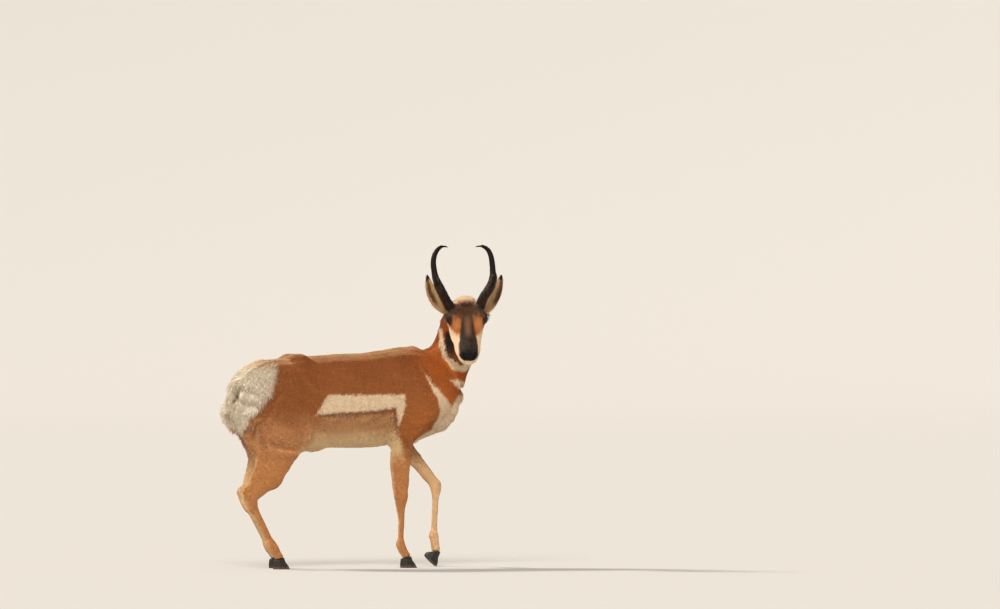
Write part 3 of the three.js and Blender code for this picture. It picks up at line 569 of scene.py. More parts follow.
def lid_place(h):
    """Across and up from the middle of the eye's opening, over its half lengths."""
    x = h[:, 0] - EYE[0] - 1
    z = h[:, 2] - EYE[2] + 1
    across = (x * math.cos(EYE_TILT) + z * math.sin(EYE_TILT)) / EYE_HALF_LENGTH
    up = -x * math.sin(EYE_TILT) + z * math.cos(EYE_TILT)
    open_by = np.where(up > 0, UPPER_LID, LOWER_LID) * (1 - 0.22 * np.clip(across, -1, 1) ** 2)
    return across, up / open_by


def mouth_height(x):
    return -51 - 0.123 * (x - 274)


# Each ridge or fold beside the eye: its height, its width, and the line that it follows. They are the
# cheekbone, the fold ahead of the eye and the bone of the brow.
FACE_RIDGES = (
    (2.2, 6, (124, 66, -12), (196, 46, -30)),
    (-2.2, 3.4, (128, 72, 12), (146, 62, -2)),
    (2.4, 6, (92, 76, 38), (124, 74, 42)),
)


def face_relief(h):
    """How far the skin of the face is raised, in millimetres: nostrils, lips, chin, bridge and jaw."""
    x, z = h[:, 0], h[:, 2]
    mirrored = np.stack([x, np.abs(h[:, 1]), z], 1)
    y = mirrored[:, 1]
    slit = segment_distance(mirrored, (299, 13, -23), (284, 27, -5))
    raised = -8.0 * bump_at(slit, 0, 3.4) + 1.5 * bump_at(slit, 8, 2.6)
    lips = rise(x, 218, 238) * fall(z, -34, -28) * rise(z, -74, -66)
    level = z - mouth_height(x)
    lip = 1.3 * bump_at(level, 6, 3.4) + 1.2 * bump_at(level, -6, 3.6)
    raised += lips * (lip - 3.6 * bump_at(level, 0, 2.0))
    raised += -1.8 * bump_at(y, 0, 1.8) * rise(x, 290, 297) * rise(z, -50, -40)
    raised += -1.6 * bump_at(y, 31, 5) * rise(x, 140, 165) * fall(x, 225, 250) * rise(z, -10, 5)
    raised += 9.0 * bump_at(x, 232, 40) * bump_at(z, -40, 26) * rise(y, 12, 34)
    raised += -2.0 * bump_at(x, 118, 30) * bump_at(y, 0, 18) * rise(z, 0, 20)
    for height, width, start, end in FACE_RIDGES:
        raised += height * bump_at(segment_distance(mirrored, start, end), 0, width)
    return raised


def lids(h):
    """Sets the skin round each eye to lie on the ball, with an almond opening in it."""
    side = np.sign(h[:, 1])
    from_eye = h - np.array(EYE) * np.stack([np.ones_like(side), side, np.ones_like(side)], 1)
    away = np.linalg.norm(from_eye, axis=1)
    outward = from_eye[:, 1] * side > 2
    across, up = lid_place(h)
    q = np.hypot(across, up)
    closed = rise(q, 0.93, 1.08)
    lid = EYE_RADIUS + 1.5 + 1.5 * bump_at(q, 1.18, 0.14) - 1.3 * bump_at(q, 1.62, 0.12) * (up > 0)
    wanted = (EYE_RADIUS - 5) * (1 - closed) + lid * closed
    near = outward & (q < 1.9)
    hold = np.where(closed > 0.98, np.maximum(away, wanted), wanted)
    hold = hold * fall(q, 1.5, 1.9) + away * rise(q, 1.5, 1.9)
    moved = h.copy()
    moved[near] = h[near] + from_eye[near] / away[near, None] * (hold - away)[near, None]
    return moved


print("opening of an eye:", 2 * EYE_HALF_LENGTH, "by", UPPER_LID + LOWER_LID, "mm")

# %% [markdown]
# Muscles show on the body's side as folds between them. Each fold follows a line of places in x and z,
# and is pressed in by a few millimetres: at the hip, on the thigh, behind the shoulder, ahead of it.

# %% Folds of the body
FOLDS = (
    (4.5, 22, ((-257, 884), (-200, 800), (-156, 743), (-165, 650), (-196, 582), (-221, 511))),
    (3.6, 14, ((-322, 720), (-378, 610), (-338, 500), (-356, 410))),
    (2.6, 15, ((300, 800), (262, 720), (214, 650), (176, 570))),
    (2.6, 12, ((330, 850), (352, 790), (392, 730), (404, 650))),
)


def line_away(p, line):
    """How far each place is from a line of places, seen from the side."""
    flat = np.stack([p[:, 0], p[:, 2] * 0, p[:, 2]], 1)
    return nearest_on_line(flat, tuple((x, 0, z) for x, z in line))[2]


def trunk_relief(p):
    """How far the body's side is raised, in millimetres: folds, two muscles, faint ribs, a flat hip."""
    x, y, z = p.T
    raised = 5.0 * bump_at(x, 262, 60) * bump_at(z, 640, 70)
    raised += 4.0 * bump_at(x, -265, 60) * bump_at(z, 640, 90)
    for depth, width, line in FOLDS:
        raised -= depth * bump_at(line_away(p, line), 0, width)
    ribs = rise(x, -110, -40) * fall(x, 150, 210) * bump_at(z, 690, 110)
    raised += 0.9 * ribs * np.sin((x - 0.25 * (z - 690)) / 6.2)
    raised += wobble(p, 38, 1.1)
    return raised * rise(np.abs(y), 40, 70) - 9.0 * bump_at(x, -258, 44) * rise(z, 820, 880)


points = points_of(skin.data)
normals = normals_of(skin.data)
points -= normals * coat_depth(points)[:, None]
face = of_head(points)
body_relief = trunk_relief(on_trunk(points)) * (1 - face) * (1 - rump_hair(points)) * (1 - leg_part(points))
points += normals * (body_relief * MM)[:, None]
face = of_head(points)
relief = face_relief(on_head(points)) * face
points += normals * (relief * MM)[:, None]
at_face = face > 0.5
points[at_face] = from_head(lids(on_head(points[at_face])))
set_points(skin.data, points)
shade_smooth(skin.data)
print("face relief from", round(relief.min(), 1), "to", round(relief.max(), 1), "mm")

# %% [markdown]
# An ear is a thin curled vane. Its solid is right but coarse, so a subdivision surface rounds a copy,
# and it joins the skin with its root in the stump that the skin already has.

# %% Ears on the skin


def smooth_copy(node, levels):
    shape = bmesh.new()
    shape.from_mesh(nodes[node].data)
    bmesh.ops.remove_doubles(shape, verts=shape.verts, dist=1e-5)
    piece = piece_from(shape, "copy_" + node)
    rounded = piece.modifiers.new("round", "SUBSURF")
    rounded.levels = levels
    rounded.render_levels = levels
    finish_modifiers(piece)
    return piece


whole = bmesh.new()
whole.from_mesh(skin.data)
body_points = len(whole.verts)
for side_name in SIDES:
    ear = smooth_copy(f"ear_{side_name}", 2)
    whole.from_mesh(ear.data)
    bpy.data.objects.remove(ear)
whole.to_mesh(skin.data)
whole.free()
shade_smooth(skin.data)
is_ear = np.arange(len(skin.data.vertices)) >= body_points
print("skin with ears:", triangles_in(skin), "triangles")

# %% [markdown]
# The unwrap of the skin gives each tuft its own place when the colours are baked. A smart projection
# cuts the skin into flat charts by its own shape.

# %% Unwrap
for other in bpy.context.view_layer.objects:
    other.select_set(other == skin)
bpy.context.view_layer.objects.active = skin
bpy.ops.object.mode_set(mode="EDIT")
bpy.ops.mesh.select_all(action="SELECT")
bpy.ops.uv.smart_project(angle_limit=math.radians(66), island_margin=0.002)
bpy.ops.object.mode_set(mode="OBJECT")
skin.data.uv_layers[0].name = "OFBake"
print("unwrap:", len(skin.data.uv_layers[0].data), "corners")

# %% [markdown]
# The markings are painted by functions of the body's own places: outlines on the flank in x and z, bands
# round the throat by their angle about the neck, and the mask of the face in the head's frame. Skin and
# tufts both ask these functions, so they always agree. First come the tones and the way they are laid.

# %% Tones of the coat


def tone(red, green, blue):
    """A colour as the eye names it, 0 to 255, as the linear light that a material needs."""
    value = np.array([red, green, blue]) / 255
    return np.where(value <= 0.04045, value / 12.92, ((value + 0.055) / 1.055) ** 2.4)


BACK = tone(166, 92, 42)
SIDE = tone(174, 102, 50)
SHOULDER = tone(194, 114, 52)
# Painted highlight: the cream of a rim of light along the spine.
PAINTED_RIM_LIGHT = tone(236, 192, 138)
HAUNCH = tone(168, 98, 46)
THIGH = tone(214, 150, 98)
LEG = tone(204, 138, 82)
LEG_PALE = tone(244, 204, 154)
WHITE = tone(255, 226, 190)
# Painted shade and light on the belly: tan in shade, and paler low down as painted bounce light.
BELLY_IN_SHADE = tone(206, 150, 100)
BELLY_BOUNCE_LIGHT = tone(255, 222, 170)
DARK_LINE = tone(122, 88, 68)
RUMP_WHITE = tone(255, 238, 214)
NECK_BROWN = tone(192, 98, 28)
CREAM = tone(253, 224, 188)
BLACK_PATCH = tone(36, 24, 20)
MASK = tone(90, 56, 36)
MASK_DARK = tone(44, 26, 18)
MASK_GREY = tone(150, 104, 74)
FOREHEAD = tone(84, 50, 28)
CHEEK = tone(198, 114, 52)
CHEEK_PALE = tone(218, 152, 100)
NOSE = tone(16, 11, 9)
EAR_BACK = tone(176, 120, 70)
EAR_INNER = tone(222, 182, 134)
EAR_DARK = tone(104, 68, 40)
EAR_RIM = tone(226, 186, 140)
CORNER_DARK = tone(48, 32, 24)


def in_outline(outline, u, v, soft):
    """1 inside an outline of points, 0 outside it, with a soft edge."""
    away = np.full(len(u), np.inf)
    within = np.zeros(len(u), bool)
    for (u0, v0), (u1, v1) in zip(outline, outline[1:] + outline[:1]):
        du, dv = u1 - u0, v1 - v0
        t = np.clip(((u - u0) * du + (v - v0) * dv) / (du * du + dv * dv), 0, 1)
        away = np.minimum(away, np.hypot(u - u0 - t * du, v - v0 - t * dv))
        crosses = (v0 > v) != (v1 > v)
        at = u0 + (v - v0) * du / (dv if dv else 1e-9)
        within ^= crosses & (u < at)
    return rise(np.where(within, away, -away), -soft, soft)


def painted(colour, *layers):
    """A colour with others over it. Each layer is a colour and how much of it each point takes."""
    for new, mask in layers:
        colour = colour + (new - colour) * np.clip(mask, 0, 1)[:, None]
    return colour


print("flank, as linear light:", SIDE.round(3))

# %% [markdown]
# The trunk is tan, darker above and paler on the thighs, with a white patch on the flank, white and tan on
# the breast with a painted shadow low on the brisket, and a white rump. The belly, under a dark line, is
# painted tan as painted shade and paler towards the bottom as painted bounce light. Hair makes all their
# edges ragged.

# %% Markings of the trunk
FLANK_PATCH = [(-153, 648), (-100, 726), (250, 727), (253, 690), (230, 630), (222, 600), (212, 640),
    (206, 672), (97, 660), (-38, 653)]
CHEST_PATCH = [(346, 814), (378, 771), (431, 717), (476, 688), (512, 728), (580, 750), (620, 700),
    (580, 540), (388, 520), (402, 600), (408, 654), (390, 716), (362, 768)]
THROAT_WEDGE = [(458, 792), (537, 783), (640, 786), (640, 735), (502, 750)]


def belly_layers(p, ragged, streaks):
    x, z = p[:, 0], p[:, 2]
    low = fall(z + ragged, 636, 658)
    low = low * rise(x - 0.5 * (z - 560) + ragged, -215, -130) * fall(x + 0.25 * (z - 500), 225, 250)
    reach = bump_at(z, 636, 34) * rise(x, -150, -100) + bump_at(z, 600, 62) * bump_at(x, 175, 44)
    # The belly is painted tan as painted shade, and paler towards the bottom as painted bounce light.
    return (
        (BELLY_IN_SHADE, low),
        (BELLY_BOUNCE_LIGHT, low * fall(z + ragged, 520, 600)),
        (DARK_LINE, streaks * low * np.clip(reach, 0, 1) * 0.7),
    )


def flank_layers(p, ragged):
    """The white patch, and the dark line under it and ahead of it."""
    x, z = p[:, 0], p[:, 2]
    edge = np.interp(x, [-153, -38, 97, 206, 222], [648, 653, 660, 674, 610])
    line = bump_at(z + 0.5 * ragged, edge - 6, 6) * rise(x, -150, -110) * fall(x, 205, 218)
    front = bump_at(x + 0.5 * ragged, np.interp(z, [600, 640, 672], [212, 202, 196]), 6)
    front = front * rise(z, 560, 600) * fall(z, 668, 678)
    return (
        (WHITE, in_outline(FLANK_PATCH, x + ragged, z + 0.6 * ragged, 5)),
        (DARK_LINE, 0.75 * np.maximum(line, front)),
    )


def breast_layers(p, ragged, streaks):
    x, y, z = p.T
    return (
        (NECK_BROWN, rise(x + 0.4 * (z - 800), 300, 420) * rise(z, 640, 720) * 0.8),
        (WHITE, in_outline(CHEST_PATCH, x + 0.5 * ragged, z + 0.5 * ragged, 5)),
        # Painted shadow: the lower brisket is darkened towards the haunch's tan.
        (HAUNCH, bump_at(x, 420, 34) * bump_at(z, 572, 22) * 0.6 * (0.5 + streaks)),
        (WHITE, rise(x, 215, 260) * fall(np.abs(y), 40, 62) * fall(z, 600, 640)),
        (CREAM, in_outline(THROAT_WEDGE, x + 0.4 * ragged, z + 0.4 * ragged, 4)),
    )


def trunk_colours(points):
    p = on_trunk(points)
    x, y, z = p.T
    ragged = wobble(p, 14, 5) + wobble(p, 5, 2)
    streaks = rise(wobble(np.stack([x * 1.6, y, z * 0.45], 1), 6, 1), 0.1, 0.6)
    tail_line = rise(-x, 440, 460) * bump_at(np.abs(y), 21, 5) * rise(z, 640, 665) * fall(z, 720, 740)
    return painted(
        SIDE,
        (BACK, rise(z + wobble(p, 60, 40), 740, 880)),
        (HAUNCH, rise(-x, 150, 230)),
        (THIGH, rise(-x, 120, 200) * fall(z + wobble(p, 50, 30), 520, 680)),
        (SHOULDER, bump_at(x, 330, 110) * bump_at(z, 620, 110)),
        *belly_layers(p, ragged, streaks),
        *flank_layers(p, ragged),
        *breast_layers(p, ragged, streaks),
        (RUMP_WHITE, rump_hair(points) * rise(z, 500, 560)),
        (HAUNCH, tail_line * 0.8),
    )


print("corners of the flank's patch:", len(FLANK_PATCH))

# %% [markdown]
# The legs are pale inside and behind. The neck is rich brown, with a cream band across the throat and a
# black patch below the jaw, which only bucks have.

# %% Markings of the legs and neck


def leg_colours(points, normals):
    inward = -normals[:, 1] * np.sign(on_trunk(points)[:, 1])
    return painted(
        LEG,
        (LEG_PALE, rise(inward, 0.1, 0.7) * 0.9),
        (LEG_PALE, rise(-normals[:, 0], 0.5, 0.95) * 0.6),
        (THIGH, rise(normals[:, 0], 0.3, 0.9) * 0.5),
    )


THROAT_MIDDLE = (475, -10)
THROAT_FACES = math.radians(-60)


def neck_colours(points):
    """Bands by their height and by the turn round the neck, in degrees from the throat's middle."""
    p = on_trunk(points)
    x, y, z = p.T
    ragged = wobble(p, 12, 4)
    turn = np.arctan2(y - THROAT_MIDDLE[1], x - THROAT_MIDDLE[0]) - THROAT_FACES
    turn = np.abs(np.degrees((turn + np.pi) % (2 * np.pi) - np.pi))
    low = np.interp(turn, [0, 30, 46, 60, 70, 84], [822, 832, 856, 890, 931, 1010])
    high = np.interp(turn, [0, 15, 43, 53, 66], [852, 862, 892, 934, 1010])
    over = rise(z + ragged, high - 3, high + 3)
    jaw = over * fall(turn, 50, 62)
    dark = rise(z, 850, 930)
    return painted(
        NECK_BROWN,
        (BACK, nape_hair(points) * 0.7),
        (CREAM, rise(z + ragged, low - 3, low + 3) * (1 - over) * fall(turn, 78, 86)),
        (BLACK_PATCH, jaw * rise(turn, 12, 34) * fall(z + ragged, 984, 1006) * dark),
        (MASK, jaw * 0.7 * (1 - dark)),
        (CREAM, in_outline(THROAT_WEDGE, x + 0.4 * ragged, z + 0.4 * ragged, 4)),
    )


print("throat faces:", round(math.degrees(THROAT_FACES)), "degrees from straight ahead")

# %% [markdown]
# The face has a dark bridge with a grey middle, orange cheeks that end in cream, dark rings round the
# eyes, a black nose pad and a pale poll between the horns.

# %% Markings of the head


def bridge_layers(x, y, z, ragged):
    """The dark bridge of the nose, grey down its middle, between the cheeks."""
    end = 204 - 0.9 * np.maximum(y - 34, 0)
    cheek = rise(x, 80, 100) * fall(x + ragged * 2, end - 22, end + 8) * rise(z + ragged, -24, 4)
    half = np.interp(x, [90, 130, 160, 190, 220, 245, 275, 295], [24, 25, 28, 33, 37, 40, 40, 36])
    bridge = fall(y + ragged, half - 7, half + 5) * rise(x, 96, 112) * rise(z, -26, -8)
    return (
        (CHEEK, cheek),
        (CHEEK_PALE, cheek * bump_at(x, 146, 18) * bump_at(y, 46, 14) * 0.6),
        (MASK, bridge),
        (MASK_DARK, bridge * rise(x + ragged * 2, 150, 215)),
        (MASK_GREY, bridge * bump_at(y, 0, 13) * fall(x, 186, 226) * 0.85),
        (MASK_DARK, bridge * bump_at(y, 22, 7) * bump_at(x, 168, 42) * 0.75),
    )


def eye_layer(h, y, ragged):
    across, up = lid_place(h)
    round_eye = np.hypot(across / 2.2, np.where(up > 0, up / 2.6, up / 3.0))
    return CORNER_DARK, fall(round_eye + 0.05 * ragged, 0.8, 1.15) * rise(y, 58, 66)


def head_colours(points):
    h = on_head(points)
    x, z = h[:, 0], h[:, 2]
    y = np.abs(h[:, 1])
    ragged = wobble(h, 9, 3)
    brow = rise(x + ragged * 2, 50, 62) * fall(x + ragged * 3, 104, 138) * rise(z, -20, 4)
    poll = fall(x + ragged * 2, 52, 64) * rise(z, 4, 20)
    side_cheek = fall(x + ragged, 96, 120) * rise(y, 40, 56) * rise(z, -60, -40)
    return painted(
        CREAM,
        *bridge_layers(x, y, z, ragged),
        (FOREHEAD, brow),
        (CREAM, poll * 0.9),
        (CHEEK, poll * bump_at(x, 54, 9) * 0.7),
        (CORNER_DARK, rise(y, 40, 56) * bump_at(x, 66, 26) * rise(z, 10, 26)),
        eye_layer(h, y, ragged),
        (NOSE, rise(x + ragged, 262, 276) * rise(z + 0.5 * ragged, -32, -26) * fall(y, 36, 41)),
        (BLACK_PATCH, rise(-z + ragged, 66, 76) * fall(x, 120, 150) * rise(y, 10, 24)),
        (MASK, bump_at(z - mouth_height(x), 0, 1.8) * rise(x, 224, 240) * 0.9),
        (SIDE, side_cheek * (1 - brow) * (1 - poll) * 0.8),
    )


print("mouth at the nose:", round(mouth_height(EYE[0] + 180), 1), "mm from the face's line")

# %% [markdown]
# Each part gives its colour everywhere, and the whole coat blends from one part to the next across the joint
# between them. A painted highlight lies along the top of the spine, cream where the coat faces up, and light
# hair lies behind the thighs.

# %% Whole coat


def coat_colours(points, normals):
    """The coat's colour at each point, as linear light."""
    p = on_trunk(points)
    # Painted highlight: the upward faces along the spine are painted cream, a rim of light along the back.
    rim_light = rise(normals[:, 2], 0.7, 0.96) * rise(p[:, 2], 830, 850) * fall(p[:, 0], 330, 400)
    rim_light = rim_light * (0.55 + wobble(p, 31, 0.12))
    rear = rise(-normals[:, 0], 0.55, 0.9) * bump_at(p[:, 2], 520, 70) * rise(-p[:, 0], 360, 400)
    trunk = painted(trunk_colours(points), (PAINTED_RIM_LIGHT, rim_light), (CREAM, rear * 0.85))
    mottle = 1 + wobble(p, 24, 0.04) + wobble(p, 7, 0.05)
    return painted(
        trunk * mottle[:, None],
        (neck_colours(points), rise(p[:, 0] * 0.8 + p[:, 2] * 0.6, 856, 876)),
        (leg_colours(points, normals), leg_part(points)),
        (head_colours(points), rise(of_head(points), 0.2, 0.5)),
    )


print("first point of the skin:", coat_colours(points_of(skin.data)[:1], normals_of(skin.data)[:1]).round(3))

# %% [markdown]
# The ears show their shades across the photograph's plane, so theirs are laid by the place along and
# across each ear, seen from there.

# %% Ears and skin painted


def view_plane(points):
    """Across the photograph and up, in millimetres."""
    return np.stack([points @ np.array(view_right), points[:, 2]], 1) / MM


def ear_axis(side):
    """An ear's root and tip across the photograph, and the direction away from the head."""
    points = points_of(skin.data)[is_ear]
    flat = view_plane(points[on_head(points)[:, 1] * side > 0])
    root = flat[flat[:, 1] < np.percentile(flat[:, 1], 4)].mean(axis=0)
    tip = flat[flat[:, 1] > np.percentile(flat[:, 1], 98)].mean(axis=0)
    along = (tip - root) / np.linalg.norm(tip - root)
    away = np.array([along[1], -along[0]])
    return root, along, away * np.sign(away[0] * along[0]), np.linalg.norm(tip - root)


EAR_HALF = 20
EAR_AXES = {side: ear_axis(side) for side in SIDES.values()}


def ear_colours(points, normals):
    """The back of an ear is tan. Its inside is cream near the head, brown in the middle, dark at the rim."""
    inner = rise(-(normals @ np.array(view_ahead)), 0.0, 0.4)
    sides = np.where(on_head(points)[:, 1] > 0, 1, -1)
    flat = view_plane(points)
    colour = EAR_BACK
    for side, (root, along, away, length) in EAR_AXES.items():
        here = sides == side
        t = (flat - root) @ along / length + wobble(points / MM, 7, 0.03)
        half = EAR_HALF * np.sin(np.pi * np.clip(t, 0.08, 0.95))
        across = ((flat - root) @ away + wobble(points / MM, 5, 3)) / half
        lit = inner * here
        colour = painted(
            colour,
            (EAR_INNER, lit),
            (EAR_DARK, lit * rise(across, 0.0, 0.75) * rise(t, 0.12, 0.4)),
            (EAR_RIM, lit * rise(across, 1.25, 1.5) * 0.8),
            (BLACK_PATCH, here * rise(t, 0.84, 0.93)),
        )
    return colour


def store_colours(mesh, colours):
    layer = mesh.color_attributes.new("coat", "FLOAT_COLOR", "POINT")
    rgba = np.concatenate([colours, np.ones((len(colours), 1))], axis=1)
    write(layer.data, "color", rgba)


points = points_of(skin.data)
normals = normals_of(skin.data)
skin_colours = coat_colours(points, normals)
skin_colours[is_ear] = ear_colours(points[is_ear], normals[is_ear])
store_colours(skin.data, skin_colours)
print("painted:", len(points), "points of the skin")

# %% [markdown]
# Hair scatters light softly and its edge glows a little. The skin and the tufts share one kind of
# finish: the painted colour, broken up by fine noise, with a bump as fine as hair between the tufts.

# %% Coat finish


def new_finish(name, roughness, sheen=0.0, specular=0.3):
    finish = bpy.data.materials.new(name)
    finish.use_nodes = True
    shader = finish.node_tree.nodes["Principled BSDF"]
    shader.inputs["Roughness"].default_value = roughness
    shader.inputs["Sheen Weight"].default_value = sheen
    shader.inputs["Sheen Tint"].default_value = (1.0, 0.82, 0.62, 1)
    shader.inputs["Specular IOR Level"].default_value = specular
    return finish, shader


def add_node(finish, kind, **values):
    node = finish.node_tree.nodes.new(kind)
    for key, value in values.items():
        if key in node.inputs:
            node.inputs[key].default_value = value
        else:
            setattr(node, key, value)
    return node


def painted_finish(name, roughness, sheen, grain, bump, specular=0.3):
    """The painted colour with a fine darker and paler grain, and a bump of the same grain."""
    finish, shader = new_finish(name, roughness, sheen, specular)
    link = finish.node_tree.links.new
    paint_node = add_node(finish, "ShaderNodeAttribute", attribute_name="coat")
    place = add_node(finish, "ShaderNodeTexCoord")
    noise = add_node(finish, "ShaderNodeTexNoise", Scale=grain, Detail=3.0)
    link(place.outputs["Object"], noise.inputs["Vector"])
    shade = add_node(finish, "ShaderNodeMapRange")
    shade.inputs["To Min"].default_value = 0.78
    shade.inputs["To Max"].default_value = 1.18
    link(noise.outputs["Fac"], shade.inputs["Value"])
    mix = add_node(finish, "ShaderNodeVectorMath", operation="SCALE")
    link(paint_node.outputs["Color"], mix.inputs[0])
    link(shade.outputs["Result"], mix.inputs["Scale"])
    link(mix.outputs["Vector"], shader.inputs["Base Color"])
    relief = add_node(finish, "ShaderNodeBump", Strength=bump, Distance=0.001)
    link(noise.outputs["Fac"], relief.inputs["Height"])
    link(relief.outputs["Normal"], shader.inputs["Normal"])
    return finish


skin_finish = painted_finish("short_hair", 0.75, sheen=0.08, grain=700.0, bump=0.5, specular=0.18)
hair_finish = painted_finish("hair_tufts", 0.62, sheen=0.14, grain=250.0, bump=0.15, specular=0.2)
skin.data.materials.append(skin_finish)
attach(skin, "root")
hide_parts(*FLESH, *LEG_NODES, "ear_left", "ear_right")
print("finishes:", skin_finish.name, "and", hair_finish.name)

# %% [markdown]
# Hair lies along the way the body grew: back from the nose, down the neck, back and down over the ribs,
# down each leg. A few lines through the bones give that direction, each point takes it from the lines
# near it, and the part that would leave the skin is taken off.

# %% Lie of the coat
FACE_LINE = on_trunk(from_head([(300, 0, -20), (150, 0, 10), (20, 0, 20)]))
LIE_LINES = (
    tuple(FACE_LINE),
    tuple(reversed(NECK_LINE[1:])),
    ((440, 0, 850), (230, 0, 870), (-100, 0, 860), (-300, 0, 840), (-449, 0, 782)),
    ((440, 0, 740), (250, 0, 640), (0, 0, 620), (-200, 0, 640)),
    ((-449, 0, 782), (-492, 0, 640)),
)
LEG_LINES = {
    "fore_right": ((385, 96, 690), (256, 90, 552), (247, 80, 300), (240, 80, 92), (268, 80, 44)),
    "fore_left": ((400, 92, 690), (300, 86, 534), (464, 84, 340), (454, 84, 126), (464, 84, 63)),
    "hind_right": ((-290, 76, 745), (-216, 102, 530), (-436, 94, 290), (-333, 92, 92), (-303, 92, 44)),
    "hind_left": ((-285, 76, 745), (-186, 102, 530), (-386, 94, 288), (-282, 92, 92), (-252, 92, 44)),
}


def leg_line(leg):
    side = SIDES[leg.split("_")[1]]
    return tuple((x, y * side, z) for x, y, z in LEG_LINES[leg])


def lie_of(points, normals):
    """The way the hair lies at each point, along the skin."""
    p = on_trunk(points)
    total = np.zeros_like(p)
    for line in LIE_LINES + tuple(leg_line(leg) for leg in LEGS):
        _, along, away = nearest_on_line(p, line)
        total += along / ((away**2 + 900) ** 1.5)[:, None]
    lie = unit(total)
    lie[:, 2] -= 0.35 * (1 - of_head(points)) * (1 - leg_part(points))
    rump = rump_hair(points)[:, None]
    flare = np.stack([np.full(len(p), -0.3), np.sign(p[:, 1]) * 0.5, np.full(len(p), -1.0)], 1)
    lie = lie * (1 - rump) + rump * flare
    lie -= normals * np.sum(lie * normals, axis=1, keepdims=True)
    return unit(lie)


print("lines of the lie:", len(LIE_LINES) + len(LEGS))

# %% [markdown]
# A tuft is a small closed blade: one point sunk in the skin, rings of three points, and a tip. Thousands
# are made at once in arrays and become one mesh for each kind of hair. Roots are drawn by area, with a
# chance that depends on the place, always from the same seed.

# %% Tufts


class Hide:
    """The skin's triangles, ready to draw roots from."""

    def __init__(self, piece):
        mesh = piece.data
        mesh.calc_loop_triangles()
        self.corners = read(mesh.loop_triangles, "vertices", 3, np.int32)
        loops = read(mesh.loop_triangles, "loops", 3, np.int32)
        self.uv = read(mesh.uv_layers["OFBake"].data, "uv", 2)[loops]
        self.points = points_of(mesh)
        self.normals = normals_of(mesh)
        a, b, c = self.points[self.corners].transpose(1, 0, 2)
        self.areas = np.linalg.norm(np.cross(b - a, c - a), axis=1) / 2
        self.middles = (a + b + c) / 3

    def draw(self, chance, count, seed):
        random = np.random.default_rng(seed)
        total = np.cumsum(self.areas * chance)
        picked = np.searchsorted(total, random.random(count) * total[-1])
        picked = np.minimum(picked, len(total) - 1)
        u, v = random.random((2, count))
        over = u + v > 1
        u[over], v[over] = 1 - u[over], 1 - v[over]
        shares = np.stack([1 - u - v, u, v], 1)[:, :, None]
        corners = self.corners[picked]
        return (
            np.sum(self.points[corners] * shares, axis=1),
            unit(np.sum(self.normals[corners] * shares, axis=1)),
            np.sum(self.uv[picked] * shares, axis=1),
            random,
        )


hide = Hide(skin)
ear_triangle = is_ear[hide.corners[:, 0]]
haired_head = of_head(hide.middles)
print("skin area:", round(hide.areas.sum(), 3), "square metres")


# %% [markdown]
# Each blade's points and faces follow one pattern. Its place on the bake's map is a small patch at its
# root, so that a baked colour is that of the skin it grows on.

# %% Blades
ROOT_DEPTH = 1.2 * MM
PATCH_HALF = 0.0015
PATCH_SIDE = 0.0012
PATCH_RIDGE = 0.0004


def blade_points(roots, normals, lies, sizes, rings):
    """For each blade, its buried point, the rings of three points and the tip."""
    length, width, lift = sizes
    side = np.cross(normals, lies)
    rows = [roots - normals * ROOT_DEPTH]
    for t in np.arange(1, rings + 1) / (rings + 1):
        rises = length * lift * t * (1.35 - 0.5 * t)
        spine = roots + lies * (length * t)[:, None] + normals * rises[:, None]
        half = (width * 0.5 * (1 - 0.35 * t))[:, None]
        rows += [spine - side * half, spine + normals * half * 0.4, spine + side * half]
    rows.append(roots + lies * length[:, None] + normals * (length * lift * 0.8)[:, None])
    return np.stack(rows, axis=1)


def blade_faces(rings):
    faces = [(0, 2, 1), (0, 3, 2), (0, 1, 3)]
    last = 3 * rings - 2
    for base in range(1, last, 3):
        for left, right in ((0, 1), (1, 2), (2, 0)):
            faces.append((base + left, base + right, base + 3 + right))
            faces.append((base + left, base + 3 + right, base + 3 + left))
    return faces + [(last, last + 1, last + 3), (last + 1, last + 2, last + 3), (last + 2, last, last + 3)]


def mesh_from(name, points, corners):
    mesh = bpy.data.meshes.new(name)
    mesh.vertices.add(len(points))
    mesh.loops.add(corners.size)
    mesh.polygons.add(len(corners))
    write(mesh.vertices, "co", points)
    write(mesh.loops, "vertex_index", corners, np.int32)
    write(mesh.polygons, "loop_start", np.arange(0, corners.size, 3), np.int32)
    write(mesh.polygons, "use_smooth", np.ones(len(corners)), bool)
    mesh.update(calc_edges=True)
    return mesh


def make_tufts(name, roots, normals, lies, uv, colours, sizes, rings, tips, finish):
    """One mesh of closed blades. sizes holds length, width and lift for each blade, in metres."""
    points = blade_points(roots, normals, lies, sizes, rings)
    count, size = points.shape[:2]
    corners = (np.arange(count)[:, None, None] * size + np.array(blade_faces(rings))).reshape(-1, 3)
    mesh = mesh_from(name, points.reshape(-1, 3), corners)
    along = np.concatenate([[0], np.repeat(np.arange(1, rings + 1) / (rings + 1), 3), [1]])
    shade = 0.95 + tips * (along - 0.4)
    store_colours(mesh, (colours[:, None, :] * shade[:, None]).reshape(-1, 3))
    ring_patch = [(-PATCH_SIDE, 0), (0, PATCH_RIDGE), (PATCH_SIDE, 0)]
    patch = np.array([(0, -PATCH_HALF)] + ring_patch * rings + [(0, PATCH_HALF)])
    layer = mesh.uv_layers.new(name="OFBake")
    write(layer.data, "uv", (uv[:, None, :] + patch).reshape(-1, 2)[corners.ravel()])
    mesh.materials.append(finish)
    piece = bpy.data.objects.new(name, mesh)
    bpy.context.scene.collection.objects.link(piece)
    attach(piece, "root")
    return piece


